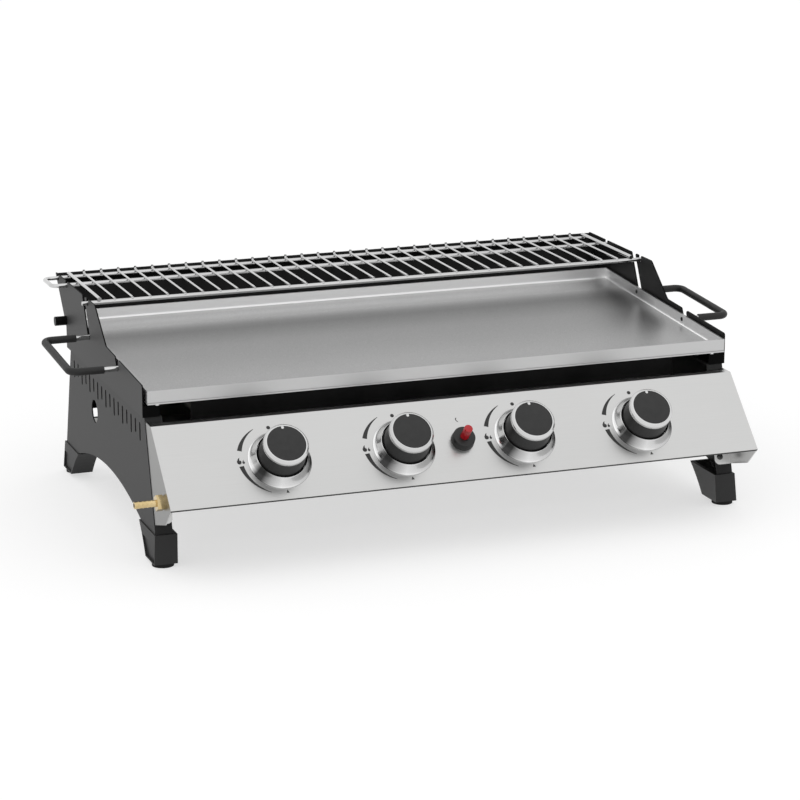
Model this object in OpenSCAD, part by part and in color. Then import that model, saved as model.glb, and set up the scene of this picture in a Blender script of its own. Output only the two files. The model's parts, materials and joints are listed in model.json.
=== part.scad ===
// Tabletop gas griddle with four burners, a lift-off plate and a warming rack.
// Lengths are in millimetres and angles in degrees. The modules work from the
// plate's front lower edge: x to the right, y to the rear, z up. placed() then
// moves that to the middle of the footprint at ground level.

/* [Plate] */
// Width of the plate over its side walls
plate_w = 700; // [660:5:740]
// Depth of the plate along its slope
plate_d = 337; // [325:1:342]
// Height of the plate's walls
plate_h = 15.5; // [13:0.5:17]
// Thickness of the plate's walls
plate_wall = 2; // [1.5:0.1:3]
// Thickness of the plate's floor
plate_floor = 2.5; // [2:0.1:4]
// Slope of the plate, rear side higher
tilt = 3; // [1:0.5:4]
// How far the front lip stands out from the front wall
lip_out = 1.2; // [0.6:0.1:2]
// Thickness of the front lip
lip_t = 1.5; // [1:0.1:2.2]
// Radius of the two studs below the front edge
stud_r = 3; // [2:0.5:4]
// Distance of a stud from the plate's side
stud_inset = 13; // [10:0.5:16]
// Height of the plate's front edge above the ground
base_h = 177.5; // [172:0.5:186]

/* [Handles] */
// Radius of the handle rod
rod_r = 3; // [2.5:0.1:3.5]
// Reach of the handle from the plate's side to the middle of the bar
handle_out = 58.3; // [45:0.1:70]
// Depth along the plate of the front arm
arm_front = 110.8; // [100:0.1:125]
// Distance between the two arms
arm_span = 129.7; // [120:0.1:138]
// Height of the arms above the plate's underside
arm_h = 9.5; // [8:0.1:10]
// Radius of the bends, to the middle of the rod
bend_r = 10; // [8:0.5:16]
// Radius of the sleeve over the rod
grip_r = 4.4; // [4:0.1:6]
// Bare length of rod next to the plate
grip_start = 20; // [12:0.5:26]
// Gap all round between rod and sleeve
grip_fit = 0.05; // [0.02:0.01:0.1]

/* [Shields] */
// Gap between the plate's side and a shield
side_gap = 2.7; // [2:0.1:4]
// Thickness of the shields and the rear panel
shield_t = 1.5; // [1:0.1:2]
// Drop from the plate's front edge to the foot of the shields
deck_drop = 15.7; // [14:0.1:20]
// Setback of the shields' front edge behind the plate's front
shield_front = 6; // [4:0.5:8]
// Rise of the shields' low edge above the plate's walls
shield_above = 4.8; // [4:0.1:7]
// Depth along the plate at which the tall part of a shield begins
shield_step = 163; // [158:1:168]
// Lean of the tall part's front edge from the horizontal
shield_rise = 38.5; // [36:0.5:45]
// Height of the shields' top edge above the plate's front edge
shield_top = 67; // [65:0.5:72]
// Distance of the shields' rear edge, at the foot, behind the plate's front
shield_rear = 351.5; // [348:0.5:356]
// Distance of the shields' rear top corner behind the plate's front
shield_back = 400; // [396:0.5:410]
// Height at which the rear edge begins to lean back
shield_knee = 10; // [6:0.5:14]
// Width of the slots that the handle arms drop into
slot_w = 10; // [9:0.1:11]
// Lean of those slots from the vertical
slot_lean = 26.5; // [22:0.5:28]
// Width of the flanges folded in from the shields and side panels
flange_w = 20; // [16:0.5:22]
// Radius of the pegs on the outside of the shields
peg_r = 5.6; // [4.5:0.1:6]
// Length of the pegs
peg_len = 14; // [8:0.5:20]

/* [Warming rack] */
// Height of the long wires' middle above the plate's front edge
rack_z = 62; // [61:0.5:63]
// Radius of the long wires
rack_wire_r = 2.5; // [2:0.1:2.6]
// Radius of the two end bars
rack_bar_r = 2.4; // [2:0.1:3]
// Radius of the cross wires
cross_r = 1.5; // [1:0.1:1.8]
// Number of cross wires
cross_count = 31; // [15:2:31]
// Distance of the front wire in front of the rear handle slots' mouths
rack_ahead = 19; // [18:0.5:21]
// Distance of the middle wire behind the plate's front
rack_mid = 345; // [335:0.5:352]
// Distance of the rear wire behind the plate's front
rack_rear = 388; // [386:0.5:389]
// Distance of the rack's end bars inside the plate's sides
rack_inset = 10; // [6:0.5:14]
// How far the end loop stands out from the left shield
loop_out = 17.4; // [10:0.1:20]
// Height to which the cross wires' rear ends are turned up
hook_h = 4.5; // [4:0.5:8]

/* [Side panels] */
// Thickness of the side panels
side_t = 1.5; // [1:0.1:2]
// Distance that the shields stand proud of the side panels
side_step = 2.4; // [2:0.1:3]
// Setback of the side panels' front edge at the top
side_front = 7.5; // [6:0.5:9]
// Depth of the side panels at the top
side_depth = 335; // [330:1:345]
// Lean of the legs, outwards to front and rear
leg_lean = 15.6; // [13:0.1:17]
// Depth that a leg stands in its shoe
leg_in = 7.5; // [6:0.5:12]
// Rise of the arch between the legs above the shoes
arch_rise = 23; // [18:0.5:25]
// Half the span of that arch at the shoes
arch_half = 143.4; // [138:0.2:146]
// Number of vent slots in the left side panel
vent_count = 17; // [9:2:17]
// Distance between vent slots
vent_pitch = 18.7; // [16:0.1:18.7]
// Width of a vent slot
vent_w = 5; // [3:0.5:7]
// Length of the longer vent slots
vent_long = 21.5; // [18:0.5:26]
// Length of the shorter vent slots
vent_short = 16.5; // [12:0.5:17.5]
// Radius of the round hole in the left side panel
port_r = 13.75; // [8:0.25:16]

/* [Control panel] */
// Thickness of the control panel
fascia_t = 1.2; // [0.8:0.1:1.5]
// Setback of the control panel's cheeks inside the side panels
fascia_step = 0.6; // [0.3:0.1:1]
// Distance of the panel's top edge in front of the plate's front
fascia_reach = 15.85; // [14:0.05:18]
// Drop from the plate's front edge to the panel's top edge
fascia_drop = 20.5; // [19:0.5:23]
// Length of the sloping face
fascia_len = 106; // [104:0.5:108]
// Lean of the face from the vertical
fascia_lean = 45.35; // [43:0.05:47]
// Width of the fold along the face's top edge
fascia_fold = 12; // [8:0.5:14]
// Width of the fixing tabs in front of the legs
tab_w = 20.4; // [18:0.2:24]

/* [Knobs] */
// Distance between neighbouring knobs, as a share of the plate's width
knob_pitch_share = 0.2077; // [0.195:0.0001:0.212]
// Shift of the row of knobs to the right
knob_shift = 1; // [0:0.5:3]
// Distance of the knobs below the face's top edge
knob_down = 57; // [54:0.5:60]
// Radius of the knob's foot
knob_r = 27.5; // [24:0.5:28]
// Radius of the bright ring round the cap
knob_ring_r = 25.5; // [22:0.5:26]
// Radius of the cap
knob_cap_r = 21.9; // [18:0.1:22.5]
// Height of the knob's top above the panel
knob_h = 37; // [32:0.5:40]
// Gap between the panel and the knob's foot
knob_gap = 4.6; // [4:0.1:6]
// Push of the knobs towards the panel
knob_push = 3; // [2:0.5:3.5]
// Outer radius of the bezels
bezel_r = 36; // [34:0.5:38]
// Height of the bezels' inner lip
bezel_h = 12; // [8:0.5:13]
// Gap all round between a knob and its bezel
bezel_gap = 0.8; // [0.5:0.1:1.5]

/* [Igniter] */
// Distance of the igniter below the face's top edge
spark_down = 55.5; // [51:0.5:58]
// Distance of the igniter to the left of the middle
spark_left = 1.5; // [0:0.5:3]
// Radius of the igniter's collar
spark_r = 13.5; // [12.5:0.5:15]
// Height of the collar
spark_h = 9.5; // [8:0.5:11]
// Radius of the push button
button_r = 4.9; // [4:0.1:6]
// Height of the button above the collar
button_h = 17.5; // [12:0.5:20]
// Travel of the button
button_push = 4; // [3:0.5:5]
// Radius of the igniter's threaded barrel
barrel_r = 11; // [9:0.5:12]
// Length of the barrel behind the face
barrel_len = 40; // [30:1:42]

/* [Gas] */
// Radius of the manifold tube
manifold_r = 6; // [5:0.5:7]
// Distance of the manifold below the face's top edge
manifold_down = 84; // [83:0.5:86]
// Distance of the manifold behind the face
manifold_in = 19.5; // [18:0.5:21]
// Radius of the hose barb, over its crests
barb_r = 4; // [3:0.1:5]
// Reach of the barb from the left cheek
inlet_out = 32.8; // [26:0.1:40]
// Width across the flats of the inlet's hexagon
inlet_flats = 16; // [14:0.5:18]
// Radius of the valve stems
stem_r = 4; // [3:0.1:4.5]
// Gap all round between the stem, its collar and its bore
stem_fit = 0.06; // [0.03:0.01:0.1]

/* [Burners] */
// Radius of the burner tubes
burner_r = 12.7; // [10:0.1:14]
// Thickness of the burner tubes' wall
burner_wall = 1; // [0.6:0.1:1.5]
// Depth of the burners' axis below the plate's front edge
burner_drop = 76; // [74:0.5:78]
// Gap between the burners' ends and the rear wall
burner_gap = 6; // [4:0.5:12]
// Number of flame slots along each burner
port_count = 18; // [8:1:18]
// Drop from the plate's front edge to the floor tray
tray_drop = 104; // [102:0.5:106]

/* [Feet] */
// Height of the shoes
foot_h = 33; // [30:0.5:38]
// Width of a shoe at its top
foot_w = 25.7; // [24.5:0.1:28]
// Depth of a shoe at its top
foot_d = 66.5; // [62:0.5:72]
// Depth of a shoe at its base
foot_base_d = 38; // [34:0.5:44]
// Radius of the rubber pads
pad_r = 12.3; // [9:0.1:13]
// Height of the rubber pads
pad_h = 4; // [3:0.5:6]

/* [Fasteners] */
// Radius of the screws' shanks
screw_r = 2; // [1.5:0.1:2.5]
// Radius of the screws' heads
head_r = 3.6; // [3:0.1:4]
// Height of the screws' heads
head_h = 2; // [1.5:0.1:2.5]
// Radius of the flat heads inside the plate's walls
flat_head_r = 2.6; // [2.3:0.1:3.6]
// Height of those flat heads
flat_head_h = 0.8; // [0.6:0.1:1.5]

/* [Hidden] */
$fn = 64;
cut = 1; // overrun of every cut
seat = 0.3; // gap under a wire or rod that lies in its slot
hole_fit = 0.15; // gap all round a screw or tube in its hole
smooth = 6; // steps in a rounded corner
half_turn = 180;

half_w = plate_w / 2;
shield_in = half_w + side_gap;
shield_out = shield_in + shield_t;
side_out = shield_out - side_step;
side_in = side_out - side_t;
fascia_out = side_out - fascia_step;
side_mid = side_front + side_depth / 2;
foot_top = -(base_h - pad_h - foot_h);
leg_end = foot_top - leg_in;
knob_pitch = plate_w * knob_pitch_share;
knob_xs = [for (k = [-1.5 : 1.5]) knob_shift + k * knob_pitch];

// Points and directions in the y-z plane
function on_plate(v, w) = [v * cos(tilt) - w * sin(tilt), v * sin(tilt) + w * cos(tilt)];
function on_face(s, h) = [
    -fascia_reach - s * sin(fascia_lean) - h * cos(fascia_lean),
    -fascia_drop - s * cos(fascia_lean) + h * sin(fascia_lean)
];
function front_line(z) = side_front + (z + deck_drop) * tan(leg_lean);
function meet(p, a, q, b) = p + a * cross(q - p, b) / cross(a, b);

module placed() {
    translate([0, -mid_y, base_h]) children();
}

// Both sides are drawn on the right, and the left one is mirrored
module sided(side) {
    mirror([side < 0 ? 1 : 0, 0, 0]) children();
}

module both_sides() {
    for (side = [-1, 1]) sided(side) children();
}

// The rear half of a side panel mirrors its front half
module rear_half() {
    translate([0, 2 * side_mid, 0]) mirror([0, 1, 0]) children();
}

module sloped() {
    rotate([tilt, 0, 0]) children();
}

// Local z is the outward normal of the control panel, local y runs up its face
module on_fascia(x, s) {
    p = on_face(s, 0);
    translate([x, p[0], p[1]]) rotate([90 - fascia_lean, 0, 0]) children();
}

// Local z points forward out of a leg's front flange, local y runs up it
module on_leg() {
    translate([0, side_front, -deck_drop]) rotate([90 - leg_lean, 0, 0]) children();
}

// A sheet cut in the y-z plane, thick along x
module upright(x, t) {
    translate([x, 0, 0]) rotate([90, 0, 90]) linear_extrude(t) children();
}

// A profile in the y-z plane that runs across the whole width
module across(half) {
    upright(-half, 2 * half) children();
}

// A polygon whose corners [y, z, radius] are rounded by arcs
function unit(v) = v / norm(v);
function corner_arc(a, p, b, r) =
    r == 0 ? [p] :
    let (
        u = unit(a - p),
        v = unit(b - p),
        half = acos(u * v) / 2,
        c = p + unit(u + v) * r / sin(half),
        start = p + u * r / tan(half) - c,
        turn = (half_turn - 2 * half) * sign(cross(p - a, b - p))
    )
    [for (i = [0 : smooth])
        let (t = turn * i / smooth)
        c + [start[0] * cos(t) - start[1] * sin(t), start[0] * sin(t) + start[1] * cos(t)]];
function xy(p) = [p[0], p[1]];
function rounded(pts) =
    let (n = len(pts))
    [for (i = [0 : n - 1])
        each corner_arc(xy(pts[(i + n - 1) % n]), xy(pts[i]), xy(pts[(i + 1) % n]), pts[i][2])];

// Plate and handles

stud_y = shield_front + shield_t / 2;
stud_gap = 3; // clear height between the shields' front flanges and the plate
flange_top = -stud_gap + stud_y * tan(tilt);
screw_depth = 10; // length of a handle screw inside its rod

module griddle_plate() {
    color("silver") placed() sloped() difference() {
        union() {
            translate([-half_w, 0, 0]) cube([plate_w, plate_d, plate_h]);
            translate([-half_w, -lip_out, 0]) cube([plate_w, lip_out + plate_wall, lip_t]);
        }
        translate([plate_wall - half_w, plate_wall, plate_floor])
            cube([plate_w - 2 * plate_wall, plate_d - 2 * plate_wall, plate_h]);
        both_sides() arms()
            translate([half_w - plate_wall - cut, 0, 0]) rotate([0, 90, 0])
                cylinder(r = screw_r + hole_fit, h = plate_wall + 2 * cut);
    }
}

// Places something at both arms of a handle, in the plate's own slope
module arms() {
    for (v = [arm_front, arm_front + arm_span]) translate([0, v, arm_h]) children();
}

module plate_studs() {
    color("silver") placed() both_sides() difference() {
        translate([half_w - stud_inset, stud_y, flange_top]) cylinder(r = stud_r, h = 2 * stud_gap);
        sloped() translate([half_w - 2 * stud_inset, -stud_inset, 0])
            cube([2 * stud_inset, 3 * stud_inset, plate_h]);
    }
}

// The bent bar of a handle, from x = start outwards
module handle_bar(r, start) {
    bend_x = half_w + handle_out - bend_r;
    arms() translate([start, 0, 0]) rotate([0, 90, 0]) cylinder(r = r, h = bend_x - start);
    translate([bend_x, arm_front + bend_r, arm_h]) rotate([0, 0, -90])
        rotate_extrude(angle = 90) translate([bend_r, 0]) circle(r);
    translate([bend_x, arm_front + arm_span - bend_r, arm_h])
        rotate_extrude(angle = 90) translate([bend_r, 0]) circle(r);
    translate([half_w + handle_out, arm_front + bend_r, arm_h]) rotate([-90, 0, 0])
        cylinder(r = r, h = arm_span - 2 * bend_r);
}

module handle_rod(side) {
    color("gainsboro") placed() sided(side) sloped() difference() {
        handle_bar(rod_r, half_w);
        arms() translate([half_w - cut, 0, 0]) rotate([0, 90, 0])
            cylinder(r = screw_r + grip_fit, h = screw_depth + 2 * cut);
    }
}

module handle_grip(side) {
    color("dimgray") placed() sided(side) sloped() difference() {
        handle_bar(grip_r, half_w + grip_start);
        handle_bar(rod_r + grip_fit, half_w + grip_start - cut);
    }
}

module left_handle_rod() { handle_rod(-1); }
module right_handle_rod() { handle_rod(1); }
module left_handle_grip() { handle_grip(-1); }
module right_handle_grip() { handle_grip(1); }

module handle_screws() {
    color("silver") placed() both_sides() sloped() arms() {
        translate([half_w - plate_wall - flat_head_h, 0, 0]) rotate([0, 90, 0])
            cylinder(r = flat_head_r, h = flat_head_h);
        translate([half_w - plate_wall - flat_head_h, 0, 0]) rotate([0, 90, 0])
            cylinder(r = screw_r, h = flat_head_h + plate_wall + screw_depth);
    }
}

// Shields and rear panel

slot_up = [sin(slot_lean), cos(slot_lean)];
slot_across = [cos(slot_lean), -sin(slot_lean)];
rear_mouth = meet(on_plate(arm_front + arm_span, arm_h), slot_up, [0, shield_top], [1, 0]);
rack_front = rear_mouth[0] - rack_ahead;
corner_r = 3; // rounding of the shields' front corners and slot mouths
step_r = 8; // hollow where the tall part begins
crest_r = 9; // rounding at the front of the tall part
notch_r = 2; // rounding of the rack's notches
notch_gap = 1.4; // gap beside a wire in its notch
slot_round_share = 0.48; // rounding of a slot's bottom, of its width
low_edge = plate_h + shield_above;
slope_dir = [cos(tilt), sin(tilt)];

// Corners of one handle slot that opens in the edge through point p along dir
function slot_corners(v, p, dir, mouth_r) =
    let (
        floor = on_plate(v, arm_h) - slot_up * (rod_r + seat),
        a = floor - slot_across * slot_w / 2,
        b = floor + slot_across * slot_w / 2,
        top_a = meet(a, slot_up, p, dir),
        top_b = meet(b, slot_up, p, dir),
        round_r = slot_w * slot_round_share
    )
    [[top_a[0], top_a[1], mouth_r], [a[0], a[1], round_r],
     [b[0], b[1], round_r], [top_b[0], top_b[1], mouth_r]];

// Corners of a notch for a rack wire in the level top edge
notch_w = 2 * (rack_wire_r + notch_gap);
function notch_corners(y) =
    let (z = rack_z - rack_wire_r - seat)
    [[y - notch_w / 2, shield_top, notch_r / 2], [y - notch_w / 2, z, notch_r],
     [y + notch_w / 2, z, notch_r], [y + notch_w / 2, shield_top, notch_r / 2]];

function shield_outline(side) =
    let (
        low = on_plate(0, low_edge),
        front_top = low + slope_dir * (shield_front - low[0]) / slope_dir[0],
        step = on_plate(shield_step, low_edge),
        rise = [cos(shield_rise), sin(shield_rise)],
        crest = meet(step, rise, [0, shield_top], [1, 0])
    )
    [
        [shield_front, -deck_drop, 0],
        [front_top[0], front_top[1], corner_r],
        each slot_corners(arm_front, low, slope_dir, corner_r),
        [step[0], step[1], step_r],
        [crest[0], crest[1], crest_r],
        each notch_corners(rack_front),
        each slot_corners(arm_front + arm_span, [0, shield_top], [1, 0], notch_r),
        each notch_corners(rack_mid),
        each side < 0 ? notch_corners(rack_rear) : [],
        [shield_back, shield_top, notch_r / 2],
        [shield_rear, shield_knee, 0],
        [shield_rear, -deck_drop, 0]
    ];

// The footprint reaches from the knobs' rings to the shields' rear top corner
ring_h = 7; // height of the bright ring
ring_soft = 0.9; // rounding of the bright ring's edges
face_rim = on_face(knob_down + knob_ring_r, knob_h - ring_h / 2);
cap_rim = on_face(knob_down + knob_ring_r - ring_soft, knob_h - ring_h / 4);
front_end = min(face_rim[0], cap_rim[0]);
rear_end = max([for (p = rounded(shield_outline(1))) p[0]]);
mid_y = (front_end + rear_end) / 2;

// Screws that hold a shield's lower flange down on the side panel's flange
deck_screw_shares = [0.12, 0.5, 0.88]; // places along the side panel's depth
deck_screw_share = 0.6; // place across the flange
deck_screw_len = 8;
deck_screws = [for (share = deck_screw_shares)
    [side_out - flange_w * deck_screw_share, side_front + side_depth * share]];

module deck_holes() {
    for (p = deck_screws) translate([p[0], p[1], -deck_drop - side_t - cut])
        cylinder(r = screw_r + hole_fit, h = shield_t + side_t + 2 * cut);
}

module shield(side) {
    color("#2a2a2b") placed() sided(side) difference() {
        union() {
            upright(shield_in, shield_t) polygon(rounded(shield_outline(side)));
            translate([shield_out - flange_w, shield_front, -deck_drop])
                cube([flange_w, shield_t, deck_drop + flange_top]);
            translate([shield_out - flange_w, shield_front, -deck_drop])
                cube([flange_w, shield_rear - shield_t - shield_front, shield_t]);
        }
        deck_holes();
    }
}

module left_shield() { shield(-1); }
module right_shield() { shield(1); }

ear_w = 15; // width of the rear panel's ears along the shields
rear_panel_drop = 1; // the rear panel ends this far below the shields' top

module rear_panel() {
    lean = [shield_back - shield_rear, shield_top - shield_knee];
    flat_t = shield_t * norm(lean) / lean[1];
    top = shield_top - rear_panel_drop;
    back = shield_rear + (top - shield_knee) * lean[0] / lean[1];
    knee = shield_knee + (flat_t - shield_t) * lean[1] / lean[0];
    color("#1c1c1d") placed() {
        across(shield_in) polygon([
            [shield_rear, -deck_drop], [shield_rear, shield_knee], [back, top],
            [back - flat_t, top], [shield_rear - shield_t, knee], [shield_rear - shield_t, -deck_drop]
        ]);
        both_sides() translate([shield_in - shield_t, shield_rear - ear_w, shield_t - deck_drop])
            cube([shield_t, ear_w - shield_t / 2, deck_drop - shield_t + shield_knee]);
    }
}

peg_z = 17.5; // height of the pegs above the plate's front edge

module side_pegs() {
    color("#161616") placed() both_sides() translate([shield_out, shield_rear, peg_z])
        rotate([0, 90, 0]) cylinder(r = peg_r, h = peg_len);
}

// Warming rack

weld = 0.8; // depth to which crossing wires sink into each other
loop_r = 8; // radius of the corners of the end loop
hook_r = 3; // radius of the turned-up ends
rack_half = half_w - rack_inset;
cross_end = 18.6; // distance of the last cross wires from the end bars
cross_pitch = 2 * (rack_half - cross_end) / (cross_count - 1);
front_wire_left = 10.5; // reach of the front wire past the plate on the left
front_wire_right = 9;
cross_past_share = 0.5; // the cross wires end this far in front of the front wire's middle
cross_short = 1.5; // the cross wires turn up this far in front of the rear wire's middle

module wire_x(y, x0, x1) {
    translate([x0, y, rack_z]) rotate([0, 90, 0]) cylinder(r = rack_wire_r, h = x1 - x0);
}

module cross_wire(x) {
    z = rack_z + rack_wire_r + cross_r - weld;
    start = rack_front - rack_wire_r * cross_past_share;
    end = rack_rear - cross_short;
    translate([x, start, z]) rotate([-90, 0, 0]) cylinder(r = cross_r, h = end - start);
    translate([x, end, z + hook_r]) rotate([0, 90, 0])
        rotate_extrude(angle = 90) translate([hook_r, 0]) circle(cross_r);
    translate([x, end + hook_r, z + hook_r]) cylinder(r = cross_r, h = hook_h - hook_r);
}

module warming_rack() {
    loop_x = -shield_out - loop_out;
    bar_z = rack_z + rack_wire_r + rack_bar_r - weld;
    color("gainsboro") placed() {
        wire_x(rack_front, -half_w - front_wire_left, half_w + front_wire_right);
        wire_x(rack_mid, loop_x + loop_r, shield_out);
        wire_x(rack_rear, loop_x + loop_r, rack_half + rack_bar_r);
        translate([loop_x, rack_mid + loop_r, rack_z]) rotate([-90, 0, 0])
            cylinder(r = rack_wire_r, h = rack_rear - rack_mid - 2 * loop_r);
        translate([loop_x + loop_r, rack_mid + loop_r, rack_z]) rotate([0, 0, 180])
            rotate_extrude(angle = 90) translate([loop_r, 0]) circle(rack_wire_r);
        translate([loop_x + loop_r, rack_rear - loop_r, rack_z]) rotate([0, 0, 90])
            rotate_extrude(angle = 90) translate([loop_r, 0]) circle(rack_wire_r);
        for (x = [-rack_half, rack_half])
            translate([x, rack_front - rack_wire_r, bar_z]) rotate([-90, 0, 0])
                cylinder(r = rack_bar_r, h = rack_rear - rack_front + 2 * rack_wire_r);
        for (i = [0 : cross_count - 1]) cross_wire((i - (cross_count - 1) / 2) * cross_pitch);
    }
}

// Side panels

arch_r = (arch_half * arch_half + arch_rise * arch_rise) / (2 * arch_rise);
leg_w = 50; // depth of a leg's tongue inside its shoe
vent_top = 10.3; // distance of the vent slots below the shields' foot
vent_shift = 2; // the row of vent slots sits this far behind the middle
port_y = 57; // distance of the round hole behind the middle
port_drop = 50; // distance of the round hole below the shields' foot
leg_len = (-leg_end - deck_drop) / cos(leg_lean) - side_t * tan(leg_lean);
tab_end = -130; // lower edge of the tabs, and of the cheeks at the legs
tab_screw_in = 14; // distance of the tab screw from the cheek
tab_screw_up = 9; // distance of the tab screw above the tab's lower edge
tab_len = 33;
tab_low = (-tab_end - deck_drop) / cos(leg_lean);

module vent_slot(h) {
    r = vent_w / 2;
    translate([0, -r]) circle(r);
    translate([0, r - h]) circle(r);
    translate([-r, r - h]) square([vent_w, h - vent_w]);
}

// Only the left panel has the vent slots and the round hole
module side_outline(side) {
    tongue = front_line(leg_end) + leg_w;
    difference() {
        polygon([
            [side_front, -deck_drop], [front_line(leg_end), leg_end],
            [2 * side_mid - front_line(leg_end), leg_end], [side_front + side_depth, -deck_drop]
        ]);
        translate([side_mid, foot_top + arch_rise - arch_r]) circle(arch_r, $fn = 360);
        translate([tongue, leg_end - cut]) square([2 * (side_mid - tongue), leg_in + cut]);
        if (side < 0) {
            for (i = [0 : vent_count - 1]) {
                y = side_mid + vent_shift + (i - (vent_count - 1) / 2) * vent_pitch;
                translate([y, -deck_drop - vent_top]) vent_slot(i % 2 == 0 ? vent_long : vent_short);
            }
            translate([side_mid + port_y, -deck_drop - port_drop]) circle(port_r);
        }
    }
}

module leg_flange() {
    on_leg() translate([side_out - flange_w, -leg_len, -side_t])
        cube([flange_w - side_t / 2, leg_len, side_t]);
}

module tab_hole(depth) {
    on_leg() translate([fascia_out - tab_screw_in, tab_screw_up - tab_low, -depth])
        cylinder(r = screw_r + hole_fit, h = 2 * depth);
}

module side_panel(side) {
    color("#545455") placed() sided(side) difference() {
        union() {
            upright(side_in, side_t) side_outline(side);
            leg_flange();
            rear_half() leg_flange();
            translate([side_out - flange_w, side_front, -deck_drop - side_t])
                cube([flange_w - side_t / 2, side_depth, side_t]);
        }
        deck_holes();
        tab_hole(side_t + cut);
    }
}

module left_side_panel() { side_panel(-1); }
module right_side_panel() { side_panel(1); }

// Control panel

cheek_run = 23.3; // depth from the face's lower edge to the cheeks' lowest corner
cheek_fall = 22.5; // drop from the face's lower edge to that corner
cheek_low = on_face(fascia_len, 0) + [cheek_run, -cheek_fall];
tab_round = 6;
hem = 3; // depth of the short fold along the face's lower edge

module fascia_strip(s, depth) {
    polygon([on_face(s, 0), on_face(s, -depth), on_face(s + fascia_t, -depth), on_face(s + fascia_t, 0)]);
}

module control_panel() {
    top = on_face(0, 0);
    color("silver") placed() difference() {
        union() {
            across(fascia_out) polygon([
                on_face(0, 0), on_face(fascia_len, 0), on_face(fascia_len, -fascia_t), on_face(0, -fascia_t)
            ]);
            across(fascia_out) fascia_strip(fascia_len - fascia_t, hem);
            across(fascia_out) translate([top[0], top[1] - fascia_t]) square([fascia_fold, fascia_t]);
            both_sides() {
                upright(fascia_out - fascia_t, fascia_t) polygon([
                    top, on_face(fascia_len, 0), cheek_low,
                    [front_line(tab_end), tab_end], [front_line(top[1]), top[1]]
                ]);
                on_leg() linear_extrude(fascia_t) polygon(rounded([
                    [fascia_out, tab_len - tab_low, 0], [fascia_out, -tab_low, 0],
                    [fascia_out - tab_w, -tab_low, tab_round], [fascia_out - tab_w, tab_len - tab_low, 0]
                ]));
            }
        }
        for (x = knob_xs) on_fascia(x, knob_down) translate([0, 0, -fascia_t - cut])
            cylinder(r = stem_hole_r, h = fascia_t + 2 * cut);
        on_fascia(-spark_left, spark_down) translate([0, 0, -fascia_t - cut])
            cylinder(r = barrel_r + hole_fit, h = fascia_t + 2 * cut);
        at_manifold() translate([-fascia_out - cut, 0, 0]) rotate([0, 90, 0])
            cylinder(r = shank_r + hole_fit, h = fascia_t + 2 * cut);
        both_sides() tab_hole(fascia_t + cut);
    }
}

// Knobs, bezels and igniter

stem_hole_r = 6.5; // holes in the face round the stems
knob_edge = 2; // height of the knob's straight foot
knob_wall = 2.5;
hub_r = 8;
hub_up = 5; // the hub ends this far above the knob's foot
stem_top = 24; // height of the stems' ends above the face
flat_depth = 1.2; // depth of the flat on a stem
flat_from = 8; // height at which the flat begins

// A stem's round section with its flat, grown all round by a gap
module stem_section(gap) {
    intersection() {
        circle(stem_r + gap);
        translate([-2 * stem_r, -2 * stem_r]) square([4 * stem_r, 3 * stem_r - flat_depth + gap]);
    }
}

module knob(i) {
    color("#2c2c2d") placed() on_fascia(knob_xs[i], knob_down) difference() {
        rotate_extrude() polygon([
            [0, knob_h], [knob_cap_r, knob_h], [knob_ring_r - ring_soft, knob_h - ring_h / 4],
            [knob_ring_r, knob_h - ring_h / 2], [knob_ring_r, knob_h - ring_h],
            [knob_ring_r - ring_soft, knob_h - ring_h], [knob_r, knob_gap + knob_edge], [knob_r, knob_gap],
            [knob_r - knob_wall, knob_gap], [knob_cap_r - knob_wall, knob_h - ring_h],
            [hub_r, knob_h - ring_h], [hub_r, knob_gap + hub_up], [0, knob_gap + hub_up]
        ]);
        translate([0, 0, knob_gap]) linear_extrude(stem_top - knob_gap) stem_section(stem_fit);
    }
}

module knob_1() { knob(0); }
module knob_2() { knob(1); }
module knob_3() { knob(2); }
module knob_4() { knob(3); }

module valve_stem(i) {
    color("darkgray") placed() on_fascia(knob_xs[i], knob_down) {
        translate([0, 0, -stem_in]) cylinder(r = stem_r, h = stem_in + flat_from);
        translate([0, 0, flat_from]) linear_extrude(stem_top - flat_from) stem_section(0);
    }
}

module valve_stem_1() { valve_stem(0); }
module valve_stem_2() { valve_stem(1); }
module valve_stem_3() { valve_stem(2); }
module valve_stem_4() { valve_stem(3); }

lip_w = 0.8; // width of a bezel's lip
rim_h = 1;

module bezel(i) {
    inner = knob_r + bezel_gap;
    flare = bezel_r - inner - lip_w;
    color("gainsboro") placed() on_fascia(knob_xs[i], knob_down) rotate_extrude() polygon([
        [inner, 0], [bezel_r, 0], [bezel_r, rim_h],
        for (share = [0.2 : 0.2 : 1])
            [bezel_r - flare * share, rim_h + (bezel_h - rim_h) * pow(share, 2)],
        [inner, bezel_h]
    ]);
}

module bezel_1() { bezel(0); }
module bezel_2() { bezel(1); }
module bezel_3() { bezel(2); }
module bezel_4() { bezel(3); }

spark_taper = 0.7; // the collar's top is narrower by this all round
button_root = 5; // depth of the button's end behind the face
bore_spare = 1; // spare depth in the button's bore beyond the push
bore_deep = button_root + button_push + bore_spare;
nut_r = 14;
nut_h = 4;

module igniter_body() {
    color("#222222") placed() on_fascia(-spark_left, spark_down) difference() {
        union() {
            cylinder(r1 = spark_r, r2 = spark_r - spark_taper, h = spark_h);
            translate([0, 0, -barrel_len]) cylinder(r = barrel_r, h = barrel_len + spark_h / 2);
        }
        translate([0, 0, -bore_deep]) cylinder(r = button_r + stem_fit, h = bore_deep + spark_h + cut);
    }
}

module igniter_button() {
    color("#c0202c") placed() on_fascia(-spark_left, spark_down) translate([0, 0, -button_root])
        cylinder(r = button_r, h = button_root + spark_h + button_h);
}

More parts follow.
